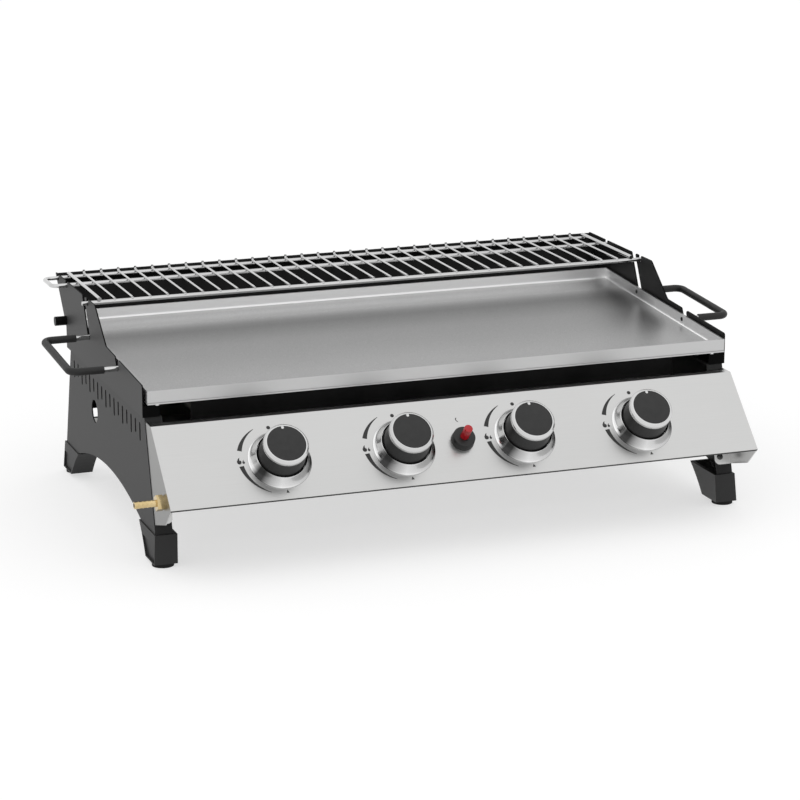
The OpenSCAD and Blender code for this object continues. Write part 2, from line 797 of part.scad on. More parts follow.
module igniter_nut() {
    color("darkgray") placed() on_fascia(-spark_left, spark_down) translate([0, 0, -fascia_t - nut_h])
        difference() {
            cylinder(r = nut_r, h = nut_h, $fn = 6);
            translate([0, 0, -cut]) cylinder(r = barrel_r + hole_fit, h = nut_h + 2 * cut);
        }
}

// Gas train

valve_w = 22; // width of a valve's body
valve_top = 10; // depth of the body's top behind the face
valve_bottom = 36; // depth of the body's base behind the face
boss_r = 7.6; // radius of the boss between body and face
ring_r = 6; // outer radius of a push collar
ring_len = 4; // length of a push collar
ring_in = 1.5; // depth of a push collar's top behind the face
stem_in = 27; // depth of the stem's end behind the face
stem_spare = 1; // spare depth in a bore beyond the push
saddle_r = 8.5; // radius of the saddle round the manifold
saddle_w = 18;
web_w = 13; // width of the web between saddle and body
web_t = 8;
nozzle_r = 4;
nozzle_end = 18; // distance of the nozzles' ends behind the plate's front
jet_r = 1;
manifold_left = 5; // distance of the manifold's end inside the left cheek
manifold_past = 25; // reach of the manifold past the last knob
shank_r = 6;
inlet_wall = 1.5;
washer_h = 1.5;
hex_h = 7;
lock_h = 4;

module at_manifold() {
    p = on_face(manifold_down, -manifold_in);
    translate([0, p[0], p[1]]) children();
}

module valve_body(i) {
    spare = knob_push + stem_spare;
    color("#8f8f86") placed() difference() {
        union() {
            on_fascia(knob_xs[i], knob_down) {
                translate([-valve_w / 2, -valve_w / 2, -valve_bottom])
                    cube([valve_w, valve_w, valve_bottom - valve_top]);
                translate([0, 0, -valve_top - cut]) cylinder(r = boss_r, h = valve_top + cut - fascia_t);
                translate([-web_w / 2, knob_down - manifold_down, -manifold_in - web_t / 2])
                    cube([web_w, manifold_down - knob_down - valve_w / 2 + cut, web_t]);
            }
            translate([knob_xs[i] - saddle_w / 2, 0, 0]) at_manifold() rotate([0, 90, 0])
                cylinder(r = saddle_r, h = saddle_w);
            translate([knob_xs[i], -nozzle_root, -burner_drop]) rotate([-90, 0, 0])
                cylinder(r = nozzle_r, h = nozzle_root + nozzle_end);
        }
        on_fascia(knob_xs[i], knob_down) {
            translate([0, 0, -stem_in - spare]) cylinder(r = stem_r + stem_fit, h = stem_in + spare);
            translate([0, 0, -ring_in - ring_len - spare])
                cylinder(r = ring_r + stem_fit, h = ring_in + ring_len + spare);
        }
        translate([knob_xs[i] - saddle_w, 0, 0]) at_manifold() rotate([0, 90, 0])
            cylinder(r = manifold_r + grip_fit, h = 2 * saddle_w);
        translate([knob_xs[i], -nozzle_end / 2, -burner_drop]) rotate([-90, 0, 0])
            cylinder(r = jet_r, h = 2 * nozzle_end);
    }
}

nozzle_root = 30; // the nozzles start this far in front of the plate's front

module valve_body_1() { valve_body(0); }
module valve_body_2() { valve_body(1); }
module valve_body_3() { valve_body(2); }
module valve_body_4() { valve_body(3); }

module push_collar(i) {
    color("darkgray") placed() on_fascia(knob_xs[i], knob_down) translate([0, 0, -ring_in - ring_len])
        difference() {
            cylinder(r = ring_r, h = ring_len);
            translate([0, 0, -cut]) cylinder(r = stem_r + stem_fit, h = ring_len + 2 * cut);
        }
}

module push_collar_1() { push_collar(0); }
module push_collar_2() { push_collar(1); }
module push_collar_3() { push_collar(2); }
module push_collar_4() { push_collar(3); }

module gas_manifold() {
    start = -fascia_out + fascia_t + manifold_left;
    color("silver") placed() at_manifold() difference() {
        translate([start, 0, 0]) rotate([0, 90, 0])
            cylinder(r = manifold_r, h = knob_xs[3] + manifold_past - start);
        translate([start - cut, 0, 0]) rotate([0, 90, 0])
            cylinder(r = manifold_r - inlet_wall, h = knob_xs[3] + manifold_past - start - inlet_wall);
    }
}

module gas_inlet() {
    wall = -fascia_out;
    crest = inlet_out - washer_h - hex_h;
    color("#c9a24a") placed() at_manifold() difference() {
        union() {
            translate([wall, 0, 0]) rotate([0, 90, 0]) cylinder(r = shank_r, h = fascia_t + manifold_left);
            translate([wall - washer_h, 0, 0]) rotate([0, 90, 0]) cylinder(r = inlet_flats / 2, h = washer_h);
            translate([wall - washer_h - hex_h, 0, 0]) rotate([0, 90, 0])
                cylinder(d = inlet_flats / cos(30), h = hex_h, $fn = 6);
            translate([wall - inlet_out, 0, 0]) rotate([0, 90, 0]) cylinder(r = barb_r, h = crest + cut);
        }
        for (share = barb_shares) translate([wall - washer_h - hex_h - crest * share, 0, 0])
            rotate([0, 90, 0]) barb_groove(crest);
        translate([wall - inlet_out - cut, 0, 0]) rotate([0, 90, 0])
            cylinder(r = barb_r - inlet_wall, h = inlet_out + fascia_t + manifold_left + 2 * cut);
    }
}

barb_shares = [0.25, 0.45, 0.65, 0.85]; // places of the grooves along the barb
groove_share = 0.07;
groove_deep = 0.6;

module barb_groove(length) {
    difference() {
        cylinder(r = barb_r + cut, h = length * groove_share);
        cylinder(r1 = barb_r - groove_deep, r2 = barb_r, h = length * groove_share);
    }
}

module inlet_nut() {
    color("#c9a24a") placed() at_manifold() translate([-fascia_out + fascia_t, 0, 0]) rotate([0, 90, 0])
        difference() {
            cylinder(d = inlet_flats / cos(30), h = lock_h, $fn = 6);
            translate([0, 0, -cut]) cylinder(r = shank_r + hole_fit, h = lock_h + 2 * cut);
        }
}

// Fire box and burners

wall_y = 24; // distance of the front wall behind the plate's front
wall_top = 3; // drop from the plate's front edge to the front wall's top
wall_under = 13.8; // both ends of the wall are cut down to this far below the flanges
wall_low_top = deck_drop + side_t + wall_under;
wall_wide = 294; // half the width of the taller middle
rear_wall_in = 4.5; // distance of the rear wall in front of the side panels' rear edge
rear_wall_y = side_front + side_depth - rear_wall_in;
rear_wall_end = 91; // drop to the rear wall's lower edge
burner_front = 14; // distance of the burners' mouths behind the plate's front
burner_len = rear_wall_y - burner_gap - burner_front;
burner_cap = 2;
support_in = 16; // distance of the burners' bracket in front of the rear wall
support_y = rear_wall_y - support_in;
support_top = 58;
support_past = 45; // reach of the bracket past the outer burners' axes
support_half = knob_xs[3] + support_past;
slot_first = 50; // distance of the first flame slot from the burner's mouth
flame_pitch = 14;
flame_w = 1.5;
flame_up = 6;

module at_burner(i, y) {
    translate([knob_xs[i], y, -burner_drop]) rotate([-90, 0, 0]) children();
}

module burner(i) {
    color("#9a978f") placed() difference() {
        at_burner(i, burner_front) cylinder(r = burner_r, h = burner_len);
        at_burner(i, burner_front - cut)
            cylinder(r = burner_r - burner_wall, h = burner_len - burner_cap + cut);
        for (k = [0 : port_count - 1]) {
            y = burner_front + slot_first + k * flame_pitch;
            translate([knob_xs[i] - burner_r - cut, y, flame_up - burner_drop])
                cube([2 * (burner_r + cut), flame_w, 2 * flame_w]);
        }
    }
}

module burner_1() { burner(0); }
module burner_2() { burner(1); }
module burner_3() { burner(2); }
module burner_4() { burner(3); }

module burner_holes(y) {
    for (i = [0 : 3]) at_burner(i, y - cut) cylinder(r = burner_r + hole_fit, h = side_t + 2 * cut);
}

module firebox_front() {
    color("#141414") placed() difference() {
        union() {
            translate([-side_in, wall_y, -tray_drop]) cube([2 * side_in, side_t, tray_drop - wall_low_top]);
            translate([-wall_wide, wall_y, -wall_low_top - cut])
                cube([2 * wall_wide, side_t, wall_low_top + cut - wall_top]);
        }
        burner_holes(wall_y);
        for (i = [0 : 3]) at_electrode(i, wall_y - cut) cylinder(r = rod_hole_r, h = side_t + 2 * cut);
    }
}

module rear_wall() {
    color("#1a1a1a") placed() translate([-side_in, rear_wall_y, -rear_wall_end])
        cube([2 * side_in, side_t, rear_wall_end - deck_drop - side_t]);
}

module burner_support() {
    color("#7d7d7d") placed() difference() {
        translate([-support_half, support_y, -tray_drop])
            cube([2 * support_half, side_t, tray_drop - support_top]);
        burner_holes(support_y);
    }
}

module floor_tray() {
    color("#8a8a88") placed() translate([-side_in, wall_y, -tray_drop - side_t])
        cube([2 * side_in, rear_wall_y + side_t - wall_y, side_t]);
}

rail_top = 106;
rail_in = 15.7; // distance of the rail in front of the rear legs' edge
rail_y = 2 * side_mid - front_line(-rail_top) - rail_in;
rail_h = 22;
rail_fold = 10;

module rear_rail() {
    color("#3a3a3b") placed() {
        translate([-side_in, rail_y, -rail_top - rail_h]) cube([2 * side_in, side_t, rail_h]);
        translate([-side_in, rail_y, -rail_top - rail_h]) cube([2 * side_in, rail_fold, side_t]);
    }
}

// Ignition

spark_side = 18; // distance of an electrode beside its burner's axis
spark_drop = 62; // drop from the plate's front edge to the electrodes
ceramic_r = 2.5;
ceramic_len = 35;
ceramic_front = 10;
tip_r = 0.8;
tip_len = 14;
rod_hole_r = ceramic_r + stem_fit;

module at_electrode(i, y) {
    translate([knob_xs[i] + spark_side, y, -spark_drop]) rotate([-90, 0, 0]) children();
}

module electrodes() {
    color("white") placed() for (i = [0 : 3]) at_electrode(i, ceramic_front) {
        cylinder(r = ceramic_r, h = ceramic_len);
        cylinder(r = tip_r, h = ceramic_len + tip_len);
    }
}

lead_r = 1.25;
lead_sides = 8;
lead_out = 6; // straight start behind the igniter
lead_spread = 4; // sideways distance of the leads' ends from the igniter's axis
lead_lane = 12; // the leads cross this far in front of the plate's front
lead_drops = [96, 91, 91, 96];

// Cutting the corners of an open route twice makes it smooth
function cut_corners(p) = [
    p[0],
    for (i = [0 : len(p) - 2]) each [p[i] * 0.75 + p[i + 1] * 0.25, p[i] * 0.25 + p[i + 1] * 0.75],
    p[len(p) - 1]
];
function lead_route(i) =
    let (
        dx = knob_xs[i] < 0 ? -lead_spread : lead_spread,
        ds = i == 1 || i == 2 ? -lead_spread : lead_spread,
        left = dx - spark_left,
        start = on_face(spark_down + ds, -barrel_len),
        out = on_face(spark_down + ds, -barrel_len - lead_out),
        x = knob_xs[i] + spark_side,
        turn_z = -(lead_drops[i] + spark_drop) / 2
    )
    cut_corners(cut_corners([
        [left, start[0], start[1]], [left, out[0], out[1]],
        [left + sign(dx) * lead_lane, -lead_lane, -lead_drops[i]],
        [x - sign(dx) * lead_lane, -lead_lane, -lead_drops[i]], [x, -lead_lane, turn_z],
        [x, -lead_lane / 2, -spark_drop], [x, 0, -spark_drop], [x, ceramic_front, -spark_drop]
    ]));

module tube_along(route, r) {
    n = len(route);
    last = n - 1;
    points = [for (k = [0 : last])
        let (
            t = unit(route[min(k + 1, last)] - route[max(k - 1, 0)]),
            a = unit(cross(t, [1, 1, 1])),
            b = cross(t, a)
        )
        for (j = [0 : lead_sides - 1])
            route[k] + r * (a * cos(360 * j / lead_sides) + b * sin(360 * j / lead_sides))];
    faces = [
        [for (j = [lead_sides - 1 : -1 : 0]) j],
        [for (j = [0 : lead_sides - 1]) last * lead_sides + j],
        for (k = [0 : last - 1]) for (j = [0 : lead_sides - 1])
            let (m = (j + 1) % lead_sides, a = k * lead_sides, b = a + lead_sides)
            each [[a + j, a + m, b + j], [a + m, b + m, b + j]]
    ];
    polyhedron(points, faces);
}

module ignition_leads() {
    color("#b0362c") placed() for (i = [0 : 3]) tube_along(lead_route(i), lead_r);
}

// Feet

foot_front_t = 3.6; // thickness of a shoe in front of its leg
foot_side_t = 1.5; // thickness of a shoe beside its leg
foot_flare = 2; // a shoe's outer side stands out by this at its base
foot_slant = 1; // its inner side stands in by this at its base
pocket_down = 12; // a shoe's outer pocket begins this far below its top
pocket_up = 1.2; // and ends this far above its base
pocket_in = 1; // depth of that pocket at the shoe's top
pocket_edge = 1.6; // width of the ribs in front of it and behind it
foot_toe = 3; // the base reaches this far in front of the top
foot_hollow = 1.5; // depth of the curve in a shoe's inner side
foot_wall = 2.6;
leg_fit = 0.2; // gap between a leg and its shoe
pad_back = 12; // distance of the pads behind the shoes' front base edge
pad_in = 11; // distance of the pads' middle inside the shoes' outer top edge

// A shallow arc from p to q, bowed to the left of that line
function bow(p, q, depth) = [
    for (i = [0 : smooth])
        let (t = i / smooth, d = unit(q - p))
        p + (q - p) * t + [-d[1], d[0]] * depth * 4 * t * (1 - t)
];

foot_y = front_line(foot_top) - foot_front_t;
foot_low = foot_top - foot_h;
foot_x = side_out + foot_side_t;
function foot_edge(down) = foot_y - foot_toe * down / foot_h;
function foot_heel(down) = foot_y + foot_d - (foot_d + foot_toe - foot_base_d) * down / foot_h;

module foot() {
    heel_top = [foot_y + foot_d, foot_top];
    heel_low = [foot_y - foot_toe + foot_base_d, foot_low];
    drop_share = leg_in / foot_h;
    heel_in = heel_top + (heel_low - heel_top) * drop_share;
    difference() {
        intersection() {
            upright(foot_x - 2 * foot_w, 3 * foot_w) polygon([
                [foot_y, foot_top], [foot_y - foot_toe, foot_low],
                each bow(heel_low, heel_top, foot_hollow)
            ]);
            translate([0, foot_y + 2 * foot_d, 0]) rotate([90, 0, 0]) linear_extrude(4 * foot_d) polygon([
                [foot_x - foot_w, foot_top], [foot_x, foot_top],
                [foot_x + foot_flare, foot_low], [foot_x - foot_w + foot_slant, foot_low]
            ]);
        }
        upright(side_out - flange_w - leg_fit, flange_w + 2 * leg_fit) polygon([
            [front_line(foot_top + cut) - leg_fit, foot_top + cut], [front_line(leg_end) - leg_fit, leg_end],
            [heel_in[0] - foot_wall, leg_end], [heel_top[0] - foot_wall, foot_top + cut]
        ]);
        upright(foot_x - pocket_in, 2 * foot_flare + pocket_in) polygon([
            [foot_edge(pocket_down) + pocket_edge, foot_top - pocket_down],
            [foot_edge(foot_h - pocket_up) + pocket_edge, foot_low + pocket_up],
            [foot_heel(foot_h - pocket_up) - pocket_edge - foot_hollow, foot_low + pocket_up],
            [foot_heel(pocket_down) - pocket_edge - foot_hollow, foot_top - pocket_down]
        ]);
    }
}

module front_left_foot() { color("#333333") placed() sided(-1) foot(); }
module front_right_foot() { color("#333333") placed() sided(1) foot(); }
module rear_left_foot() { color("#333333") placed() sided(-1) rear_half() foot(); }
module rear_right_foot() { color("#333333") placed() sided(1) rear_half() foot(); }

module foot_pads() {
    color("#101010") placed() both_sides() {
        foot_pad();
        rear_half() foot_pad();
    }
}

module foot_pad() {
    translate([foot_x - pad_in, foot_y - foot_toe + pad_back, foot_low - pad_h])
        cylinder(r = pad_r, h = pad_h);
}

// Frame screws

tab_screw_len = 10;

module frame_screws() {
    color("#202020") placed() both_sides() {
        for (p = deck_screws) {
            translate([p[0], p[1], shield_t - deck_drop]) cylinder(r = head_r, h = head_h);
            translate([p[0], p[1], shield_t - deck_drop - deck_screw_len])
                cylinder(r = screw_r, h = deck_screw_len + head_h);
        }
        on_leg() translate([fascia_out - tab_screw_in, tab_screw_up - tab_low, fascia_t]) {
            cylinder(r = head_r, h = head_h);
            translate([0, 0, -tab_screw_len]) cylinder(r = screw_r, h = tab_screw_len + head_h);
        }
    }
}

griddle_plate();
plate_studs();
left_handle_rod();
right_handle_rod();
left_handle_grip();
right_handle_grip();
handle_screws();
left_shield();
right_shield();
rear_panel();
side_pegs();
warming_rack();
left_side_panel();
right_side_panel();
control_panel();
knob_1();
knob_2();
knob_3();
knob_4();
valve_stem_1();
valve_stem_2();
valve_stem_3();
valve_stem_4();
push_collar_1();
push_collar_2();
push_collar_3();
push_collar_4();
bezel_1();
bezel_2();
bezel_3();
bezel_4();
igniter_body();
igniter_button();
igniter_nut();
valve_body_1();
valve_body_2();
valve_body_3();
valve_body_4();
gas_manifold();
gas_inlet();
inlet_nut();
burner_1();
burner_2();
burner_3();
burner_4();
firebox_front();
rear_wall();
burner_support();
floor_tray();
rear_rail();
electrodes();
ignition_leads();
front_left_foot();
front_right_foot();
rear_left_foot();
rear_right_foot();
foot_pads();
frame_screws();
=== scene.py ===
import json
import math

import bmesh
import bpy
from mathutils import Matrix, Vector


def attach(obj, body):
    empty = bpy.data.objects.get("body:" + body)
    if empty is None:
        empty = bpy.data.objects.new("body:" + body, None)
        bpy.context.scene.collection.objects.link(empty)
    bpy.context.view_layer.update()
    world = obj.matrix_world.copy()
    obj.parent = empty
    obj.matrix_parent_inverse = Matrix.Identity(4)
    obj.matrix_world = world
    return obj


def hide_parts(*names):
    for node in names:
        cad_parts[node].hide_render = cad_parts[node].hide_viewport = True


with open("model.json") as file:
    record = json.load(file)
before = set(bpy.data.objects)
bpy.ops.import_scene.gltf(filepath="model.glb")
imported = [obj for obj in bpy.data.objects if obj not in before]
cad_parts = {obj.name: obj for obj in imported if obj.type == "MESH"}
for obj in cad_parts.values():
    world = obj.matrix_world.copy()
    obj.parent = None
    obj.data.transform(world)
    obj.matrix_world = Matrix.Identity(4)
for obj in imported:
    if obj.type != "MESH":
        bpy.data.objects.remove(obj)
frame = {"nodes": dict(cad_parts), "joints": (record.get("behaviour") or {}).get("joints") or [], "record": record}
nodes = frame["nodes"]
joints = {j["name"]: j for j in frame["joints"]}
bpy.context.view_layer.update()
print("frame loaded:", len(nodes), "nodes")

mm = 0.001

# Where the drawing's own origin, the plate's front lower edge, lies in the frame
layout = {"midDepth": 150.08045, "baseHeight": 177.5, "tilt": 3.0, "halfWidth": 350.0}


def place(x, y, z):
    return Vector((x * mm, (y - layout["midDepth"]) * mm, (z + layout["baseHeight"]) * mm))


def onPlate(x, v, w):  # v runs up the plate's slope, w stands square to it
    a = math.radians(layout["tilt"])
    return place(x, v * math.cos(a) - w * math.sin(a), v * math.sin(a) + w * math.cos(a))


# Camera

cameraSet = {
    "place": (-1.1229, -3.04198, 0.9771),
    "tilt": 75.087,
    "turn": -20.255,
    "lens": 127.1,
    "sensor": 36.0,
    "reach": 50,
}


def makeCamera(s):
    data = bpy.data.cameras.new("photoCamera")
    data.lens = s["lens"]
    data.sensor_width = s["sensor"]
    data.clip_end = s["reach"]
    camera = bpy.data.objects.new("photoCamera", data)
    camera.location = s["place"]
    camera.rotation_euler = (math.radians(s["tilt"]), 0, math.radians(s["turn"]))
    bpy.context.scene.collection.objects.link(camera)
    bpy.context.scene.camera = camera


makeCamera(cameraSet)
bpy.context.scene.view_settings.view_transform = "Standard"

# Shader helpers: most add a node or two to a tree and return its output

noiseRough = 0.55
noiseRange = (0.3, 0.7)  # most points of a noise have a value between these
fineDistance = 0.0002  # depth of the finest grain
mixSockets = {"FLOAT": (2, 3, 0), "RGBA": (6, 7, 2)}  # a Mix node's first value, second value and result


def grey(v):
    return (v, v, v)


def newMaterial(name, metal):
    material = bpy.data.materials.new(name)
    material.use_nodes = True
    tree = material.node_tree
    shader = tree.nodes["Principled BSDF"]
    shader.inputs["Metallic"].default_value = metal
    return material, tree, shader


def link(tree, a, b):
    tree.links.new(a, b)


def feed(tree, value, socket):  # the value is another node's output, or a plain number or colour
    if isinstance(value, bpy.types.NodeSocket):
        link(tree, value, socket)
    else:
        socket.default_value = value


def objectCoords(tree, stretch=(1, 1, 1)):
    coords = tree.nodes.new("ShaderNodeTexCoord")
    mapping = tree.nodes.new("ShaderNodeMapping")
    mapping.inputs["Scale"].default_value = stretch
    link(tree, coords.outputs["Object"], mapping.inputs["Vector"])
    return mapping.outputs["Vector"]


def faceNormal(tree):
    return tree.nodes.new("ShaderNodeNewGeometry").outputs["Normal"]


def axisOf(tree, vector, axis):
    node = tree.nodes.new("ShaderNodeSeparateXYZ")
    link(tree, vector, node.inputs[0])
    return node.outputs[axis]


def calc(tree, operation, *values):
    node = tree.nodes.new("ShaderNodeMath")
    node.operation = operation
    for value, socket in zip(values, node.inputs):
        feed(tree, value, socket)
    return node.outputs[0]


def scaled(tree, colour, factor):
    node = tree.nodes.new("ShaderNodeVectorMath")
    node.operation = "SCALE"
    link(tree, colour, node.inputs[0])
    link(tree, factor, node.inputs["Scale"])
    return node.outputs[0]


def mixed(tree, kind, share, first, second):
    node = tree.nodes.new("ShaderNodeMix")
    node.data_type = kind
    a, b, result = mixSockets[kind]
    link(tree, share, node.inputs[0])
    feed(tree, first, node.inputs[a])
    feed(tree, second, node.inputs[b])
    return node.outputs[result]


def noise(tree, vector, scale, detail):
    node = tree.nodes.new("ShaderNodeTexNoise")
    node.inputs["Scale"].default_value = scale
    node.inputs["Detail"].default_value = detail
    node.inputs["Roughness"].default_value = noiseRough
    link(tree, vector, node.inputs["Vector"])
    return node.outputs["Fac"]


def ranged(tree, value, low, high, fromLow=noiseRange[0], fromHigh=noiseRange[1]):
    node = tree.nodes.new("ShaderNodeMapRange")
    node.inputs["From Min"].default_value = fromLow
    node.inputs["From Max"].default_value = fromHigh
    node.inputs["To Min"].default_value = low
    node.inputs["To Max"].default_value = high
    link(tree, value, node.inputs["Value"])
    return node.outputs["Result"]


def ramp(tree, value, colours):
    node = tree.nodes.new("ShaderNodeValToRGB")
    elements = node.color_ramp.elements
    while len(elements) < len(colours):
        elements.new(0.5)
    for element, (position, colour) in zip(elements, colours):
        element.position = position
        element.color = (*colour, 1)
    link(tree, value, node.inputs["Fac"])
    return node.outputs["Color"]


def bump(tree, shader, height, strength, distance):
    node = tree.nodes.new("ShaderNodeBump")
    node.inputs["Strength"].default_value = strength
    node.inputs["Distance"].default_value = distance
    link(tree, height, node.inputs["Height"])
    link(tree, node.outputs["Normal"], shader.inputs["Normal"])


def outwardShare(tree):  # 1 where a face looks away from the station's middle, -1 where it looks towards it
    side = calc(tree, "SIGN", axisOf(tree, objectCoords(tree), "X"))
    return calc(tree, "MULTIPLY", side, axisOf(tree, faceNormal(tree), "X"))


def rayShare(tree):  # 1 for rays from the camera and in reflections, 0 for the light on surfaces
    path = tree.nodes.new("ShaderNodeLightPath")
    seen = calc(tree, "MAXIMUM", path.outputs["Is Camera Ray"], path.outputs["Is Glossy Ray"])
    return calc(tree, "MAXIMUM", seen, path.outputs["Is Transmission Ray"])


# Sheet brushed along the width, with fine lines along x. Painted shade: it darkens towards the left, and its
# cheeks, the faces turned outwards, take a darker grey as painted shade
brushSet = {
    "stretch": (4, 260, 260),
    "lines": (5, 6),
    "clouds": (9, 3),
    "lineShare": 0.7,
    "leftShade": (-0.2, 0.25),
    "cheekStart": (0.4, 0.6),
    "bump": 0.012,
    "distance": 0.0004,
}
# For the panel steel, the darker grey on outward faces and the lower factor at the left end are painted shade
brushedSet = {
    "panelSteelWithShade": {"dark": (0.605, 0.605, 0.6), "light": (0.635, 0.635, 0.63), "cheek": (0.23, 0.23, 0.225),
                   "rough": (0.28, 0.31), "leftShadeFactor": 0.88},
    "traySteel": {"dark": (0.26, 0.26, 0.25), "light": (0.32, 0.32, 0.31), "cheek": (0.26, 0.26, 0.25),
                  "rough": (0.35, 0.5), "leftShadeFactor": 1.0},
}


def brushedMaterial(name, s, brush):
    material, tree, shader = newMaterial(name, 1.0)
    plain = objectCoords(tree)
    lines = noise(tree, objectCoords(tree, brush["stretch"]), *brush["lines"])
    clouds = noise(tree, plain, *brush["clouds"])
    share = brush["lineShare"]
    blend = calc(tree, "MULTIPLY_ADD", lines, share, calc(tree, "MULTIPLY", clouds, 1 - share))
    colour = ramp(tree, blend, [(noiseRange[0], s["dark"]), (noiseRange[1], s["light"])])
    # Painted shade: the colour darkens towards the left end
    leftShaded = scaled(tree, colour, ranged(tree, axisOf(tree, plain, "X"), s["leftShadeFactor"], 1, *brush["leftShade"]))
    # Painted shade: faces turned outwards take the darker grey
    turned = ranged(tree, outwardShare(tree), 0, 1, *brush["cheekStart"])
    link(tree, mixed(tree, "RGBA", turned, leftShaded, (*s["cheek"], 1)), shader.inputs["Base Color"])
    link(tree, ranged(tree, lines, *s["rough"]), shader.inputs["Roughness"])
    bump(tree, shader, lines, brush["bump"], brush["distance"])
    return material


# The pan, one steel sheet with painted reflections: bright walls and a greyer floor, both banded lighter and
# darker along the depth as painted reflections, the floor with fine grain. Bands are [depth over the pan in mm,
# grey]
panSet = {
    "floorReflectionBands": [(0, 0.33), (60, 0.355), (190, 0.34), (225, 0.29), (252, 0.26), (266, 0.34), (288, 0.62),
                   (320, 0.46), (337, 0.6)],
    "wallReflectionBands": [(-2, 0.55), (1.6, 0.55), (2, 0.98), (185, 0.98), (225, 0.5), (318, 0.5), (330, 0.86),
                  (340, 0.86)],
    "grain": (700, 2),
    "grainRange": (0.86, 1.14),
    "clouds": (6, 4),
    "floorRough": (0.29, 0.35),
    "wallRough": 0.4,
    "upShare": (0.85, 0.97),
    "bump": 0.06,
}


def depthReflectionBands(tree, y, bands):
    first, last = bands[0][0], bands[-1][0]
    share = ranged(tree, y, 0, 1, (first - layout["midDepth"]) * mm, (last - layout["midDepth"]) * mm)
    return ramp(tree, share, [((v - first) / (last - first), grey(g)) for v, g in bands])


def panMaterial(name, s):
    material, tree, shader = newMaterial(name, 1.0)
    plain = objectCoords(tree)
    depth = axisOf(tree, plain, "Y")
    # Painted reflections: the walls take brighter greys than the floor, and both are banded along the depth
    up = ranged(tree, axisOf(tree, faceNormal(tree), "Z"), 0, 1, *s["upShare"])
    grain = noise(tree, plain, *s["grain"])
    floor = scaled(tree, depthReflectionBands(tree, depth, s["floorReflectionBands"]), ranged(tree, grain, *s["grainRange"]))
    wall = depthReflectionBands(tree, depth, s["wallReflectionBands"])
    link(tree, mixed(tree, "RGBA", up, wall, floor), shader.inputs["Base Color"])
    floorRough = ranged(tree, noise(tree, plain, *s["clouds"]), *s["floorRough"])
    link(tree, mixed(tree, "FLOAT", up, s["wallRough"], floorRough), shader.inputs["Roughness"])
    bump(tree, shader, grain, s["bump"], fineDistance)
    return material


# Smooth metals and plastics that differ in a few values only
finishSet = {
    "chrome": {
        "metal": 1, "dark": grey(0.56), "light": grey(0.64),
        "rough": (0.08, 0.16), "scale": 40, "bump": 0},
    "dullZinc": {
        "metal": 1, "dark": grey(0.42), "light": grey(0.52),
        "rough": (0.35, 0.5), "scale": 120, "bump": 0.05},
    "castMetal": {
        "metal": 1, "dark": (0.4, 0.4, 0.37), "light": (0.5, 0.5, 0.46),
        "rough": (0.45, 0.6), "scale": 300, "bump": 0.2},
    "burnerSteel": {
        "metal": 1, "dark": (0.2, 0.19, 0.16), "light": (0.3, 0.29, 0.26),
        "rough": (0.3, 0.45), "scale": 30, "bump": 0.05},
    "brass": {
        "metal": 1, "dark": (0.5, 0.38, 0.18), "light": (0.78, 0.62, 0.36),
        "rough": (0.1, 0.2), "scale": 160, "bump": 0.05},
    "blackEnamel": {
        "metal": 0, "dark": grey(0.004), "light": grey(0.006),
        "rough": (0.3, 0.4), "scale": 500, "bump": 0.03, "gloss": 0.08},
    "greyPaint": {
        "metal": 0, "dark": grey(0.041), "light": grey(0.045),
        "rough": (0.5, 0.56), "scale": 700, "bump": 0.04, "gloss": 0.2},
    "sleeve": {
        "metal": 0, "dark": grey(0.017), "light": grey(0.024),
        "rough": (0.5, 0.62), "scale": 900, "bump": 0.25, "gloss": 0.3},
    "knobSkirt": {
        "metal": 0, "dark": grey(0.012), "light": grey(0.017),
        "rough": (0.32, 0.42), "scale": 900, "bump": 0.1, "gloss": 0.4},
    "knobCap": {
        "metal": 0, "dark": grey(0.036), "light": grey(0.042),
        "rough": (0.5, 0.6), "scale": 1200, "bump": 0.1, "gloss": 0.2},
    "blackPlastic": {
        "metal": 0, "dark": grey(0.012), "light": grey(0.018),
        "rough": (0.38, 0.48), "scale": 900, "bump": 0.1, "gloss": 0.4},
    # Black print; it also colours the strip of painted shade along the face's hem
    "printAndShadeBlack": {
        "metal": 0, "dark": grey(0.03), "light": grey(0.04),
        "rough": (0.5, 0.6), "scale": 900, "bump": 0.05, "gloss": 0.3},
    "printWhite": {
        "metal": 0, "dark": grey(0.75), "light": grey(0.82),
        "rough": (0.4, 0.5), "scale": 900, "bump": 0.03, "gloss": 0.4},
    "redPlastic": {
        "metal": 0, "dark": (0.42, 0.008, 0.014), "light": (0.5, 0.012, 0.02),
        "rough": (0.2, 0.3), "scale": 500, "bump": 0.04, "gloss": 0.5},
    "padRubber": {
        "metal": 0, "dark": grey(0.01), "light": grey(0.016),
        "rough": (0.7, 0.8), "scale": 1200, "bump": 0.3, "gloss": 0.2},
    "ceramic": {
        "metal": 0, "dark": (0.7, 0.69, 0.64), "light": (0.8, 0.79, 0.75),
        "rough": (0.2, 0.3), "scale": 200, "bump": 0.03, "gloss": 0.5},
    "leadRed": {
        "metal": 0, "dark": (0.3, 0.02, 0.015), "light": (0.38, 0.03, 0.02),
        "rough": (0.45, 0.55), "scale": 600, "bump": 0.05, "gloss": 0.4},
    "darkSteel": {
        "metal": 1, "dark": grey(0.05), "light": grey(0.08),
        "rough": (0.3, 0.4), "scale": 400, "bump": 0.05},
}
patchSet = {"coarser": 10, "detail": 3, "range": (0.35, 0.65), "grainDetail": 2}


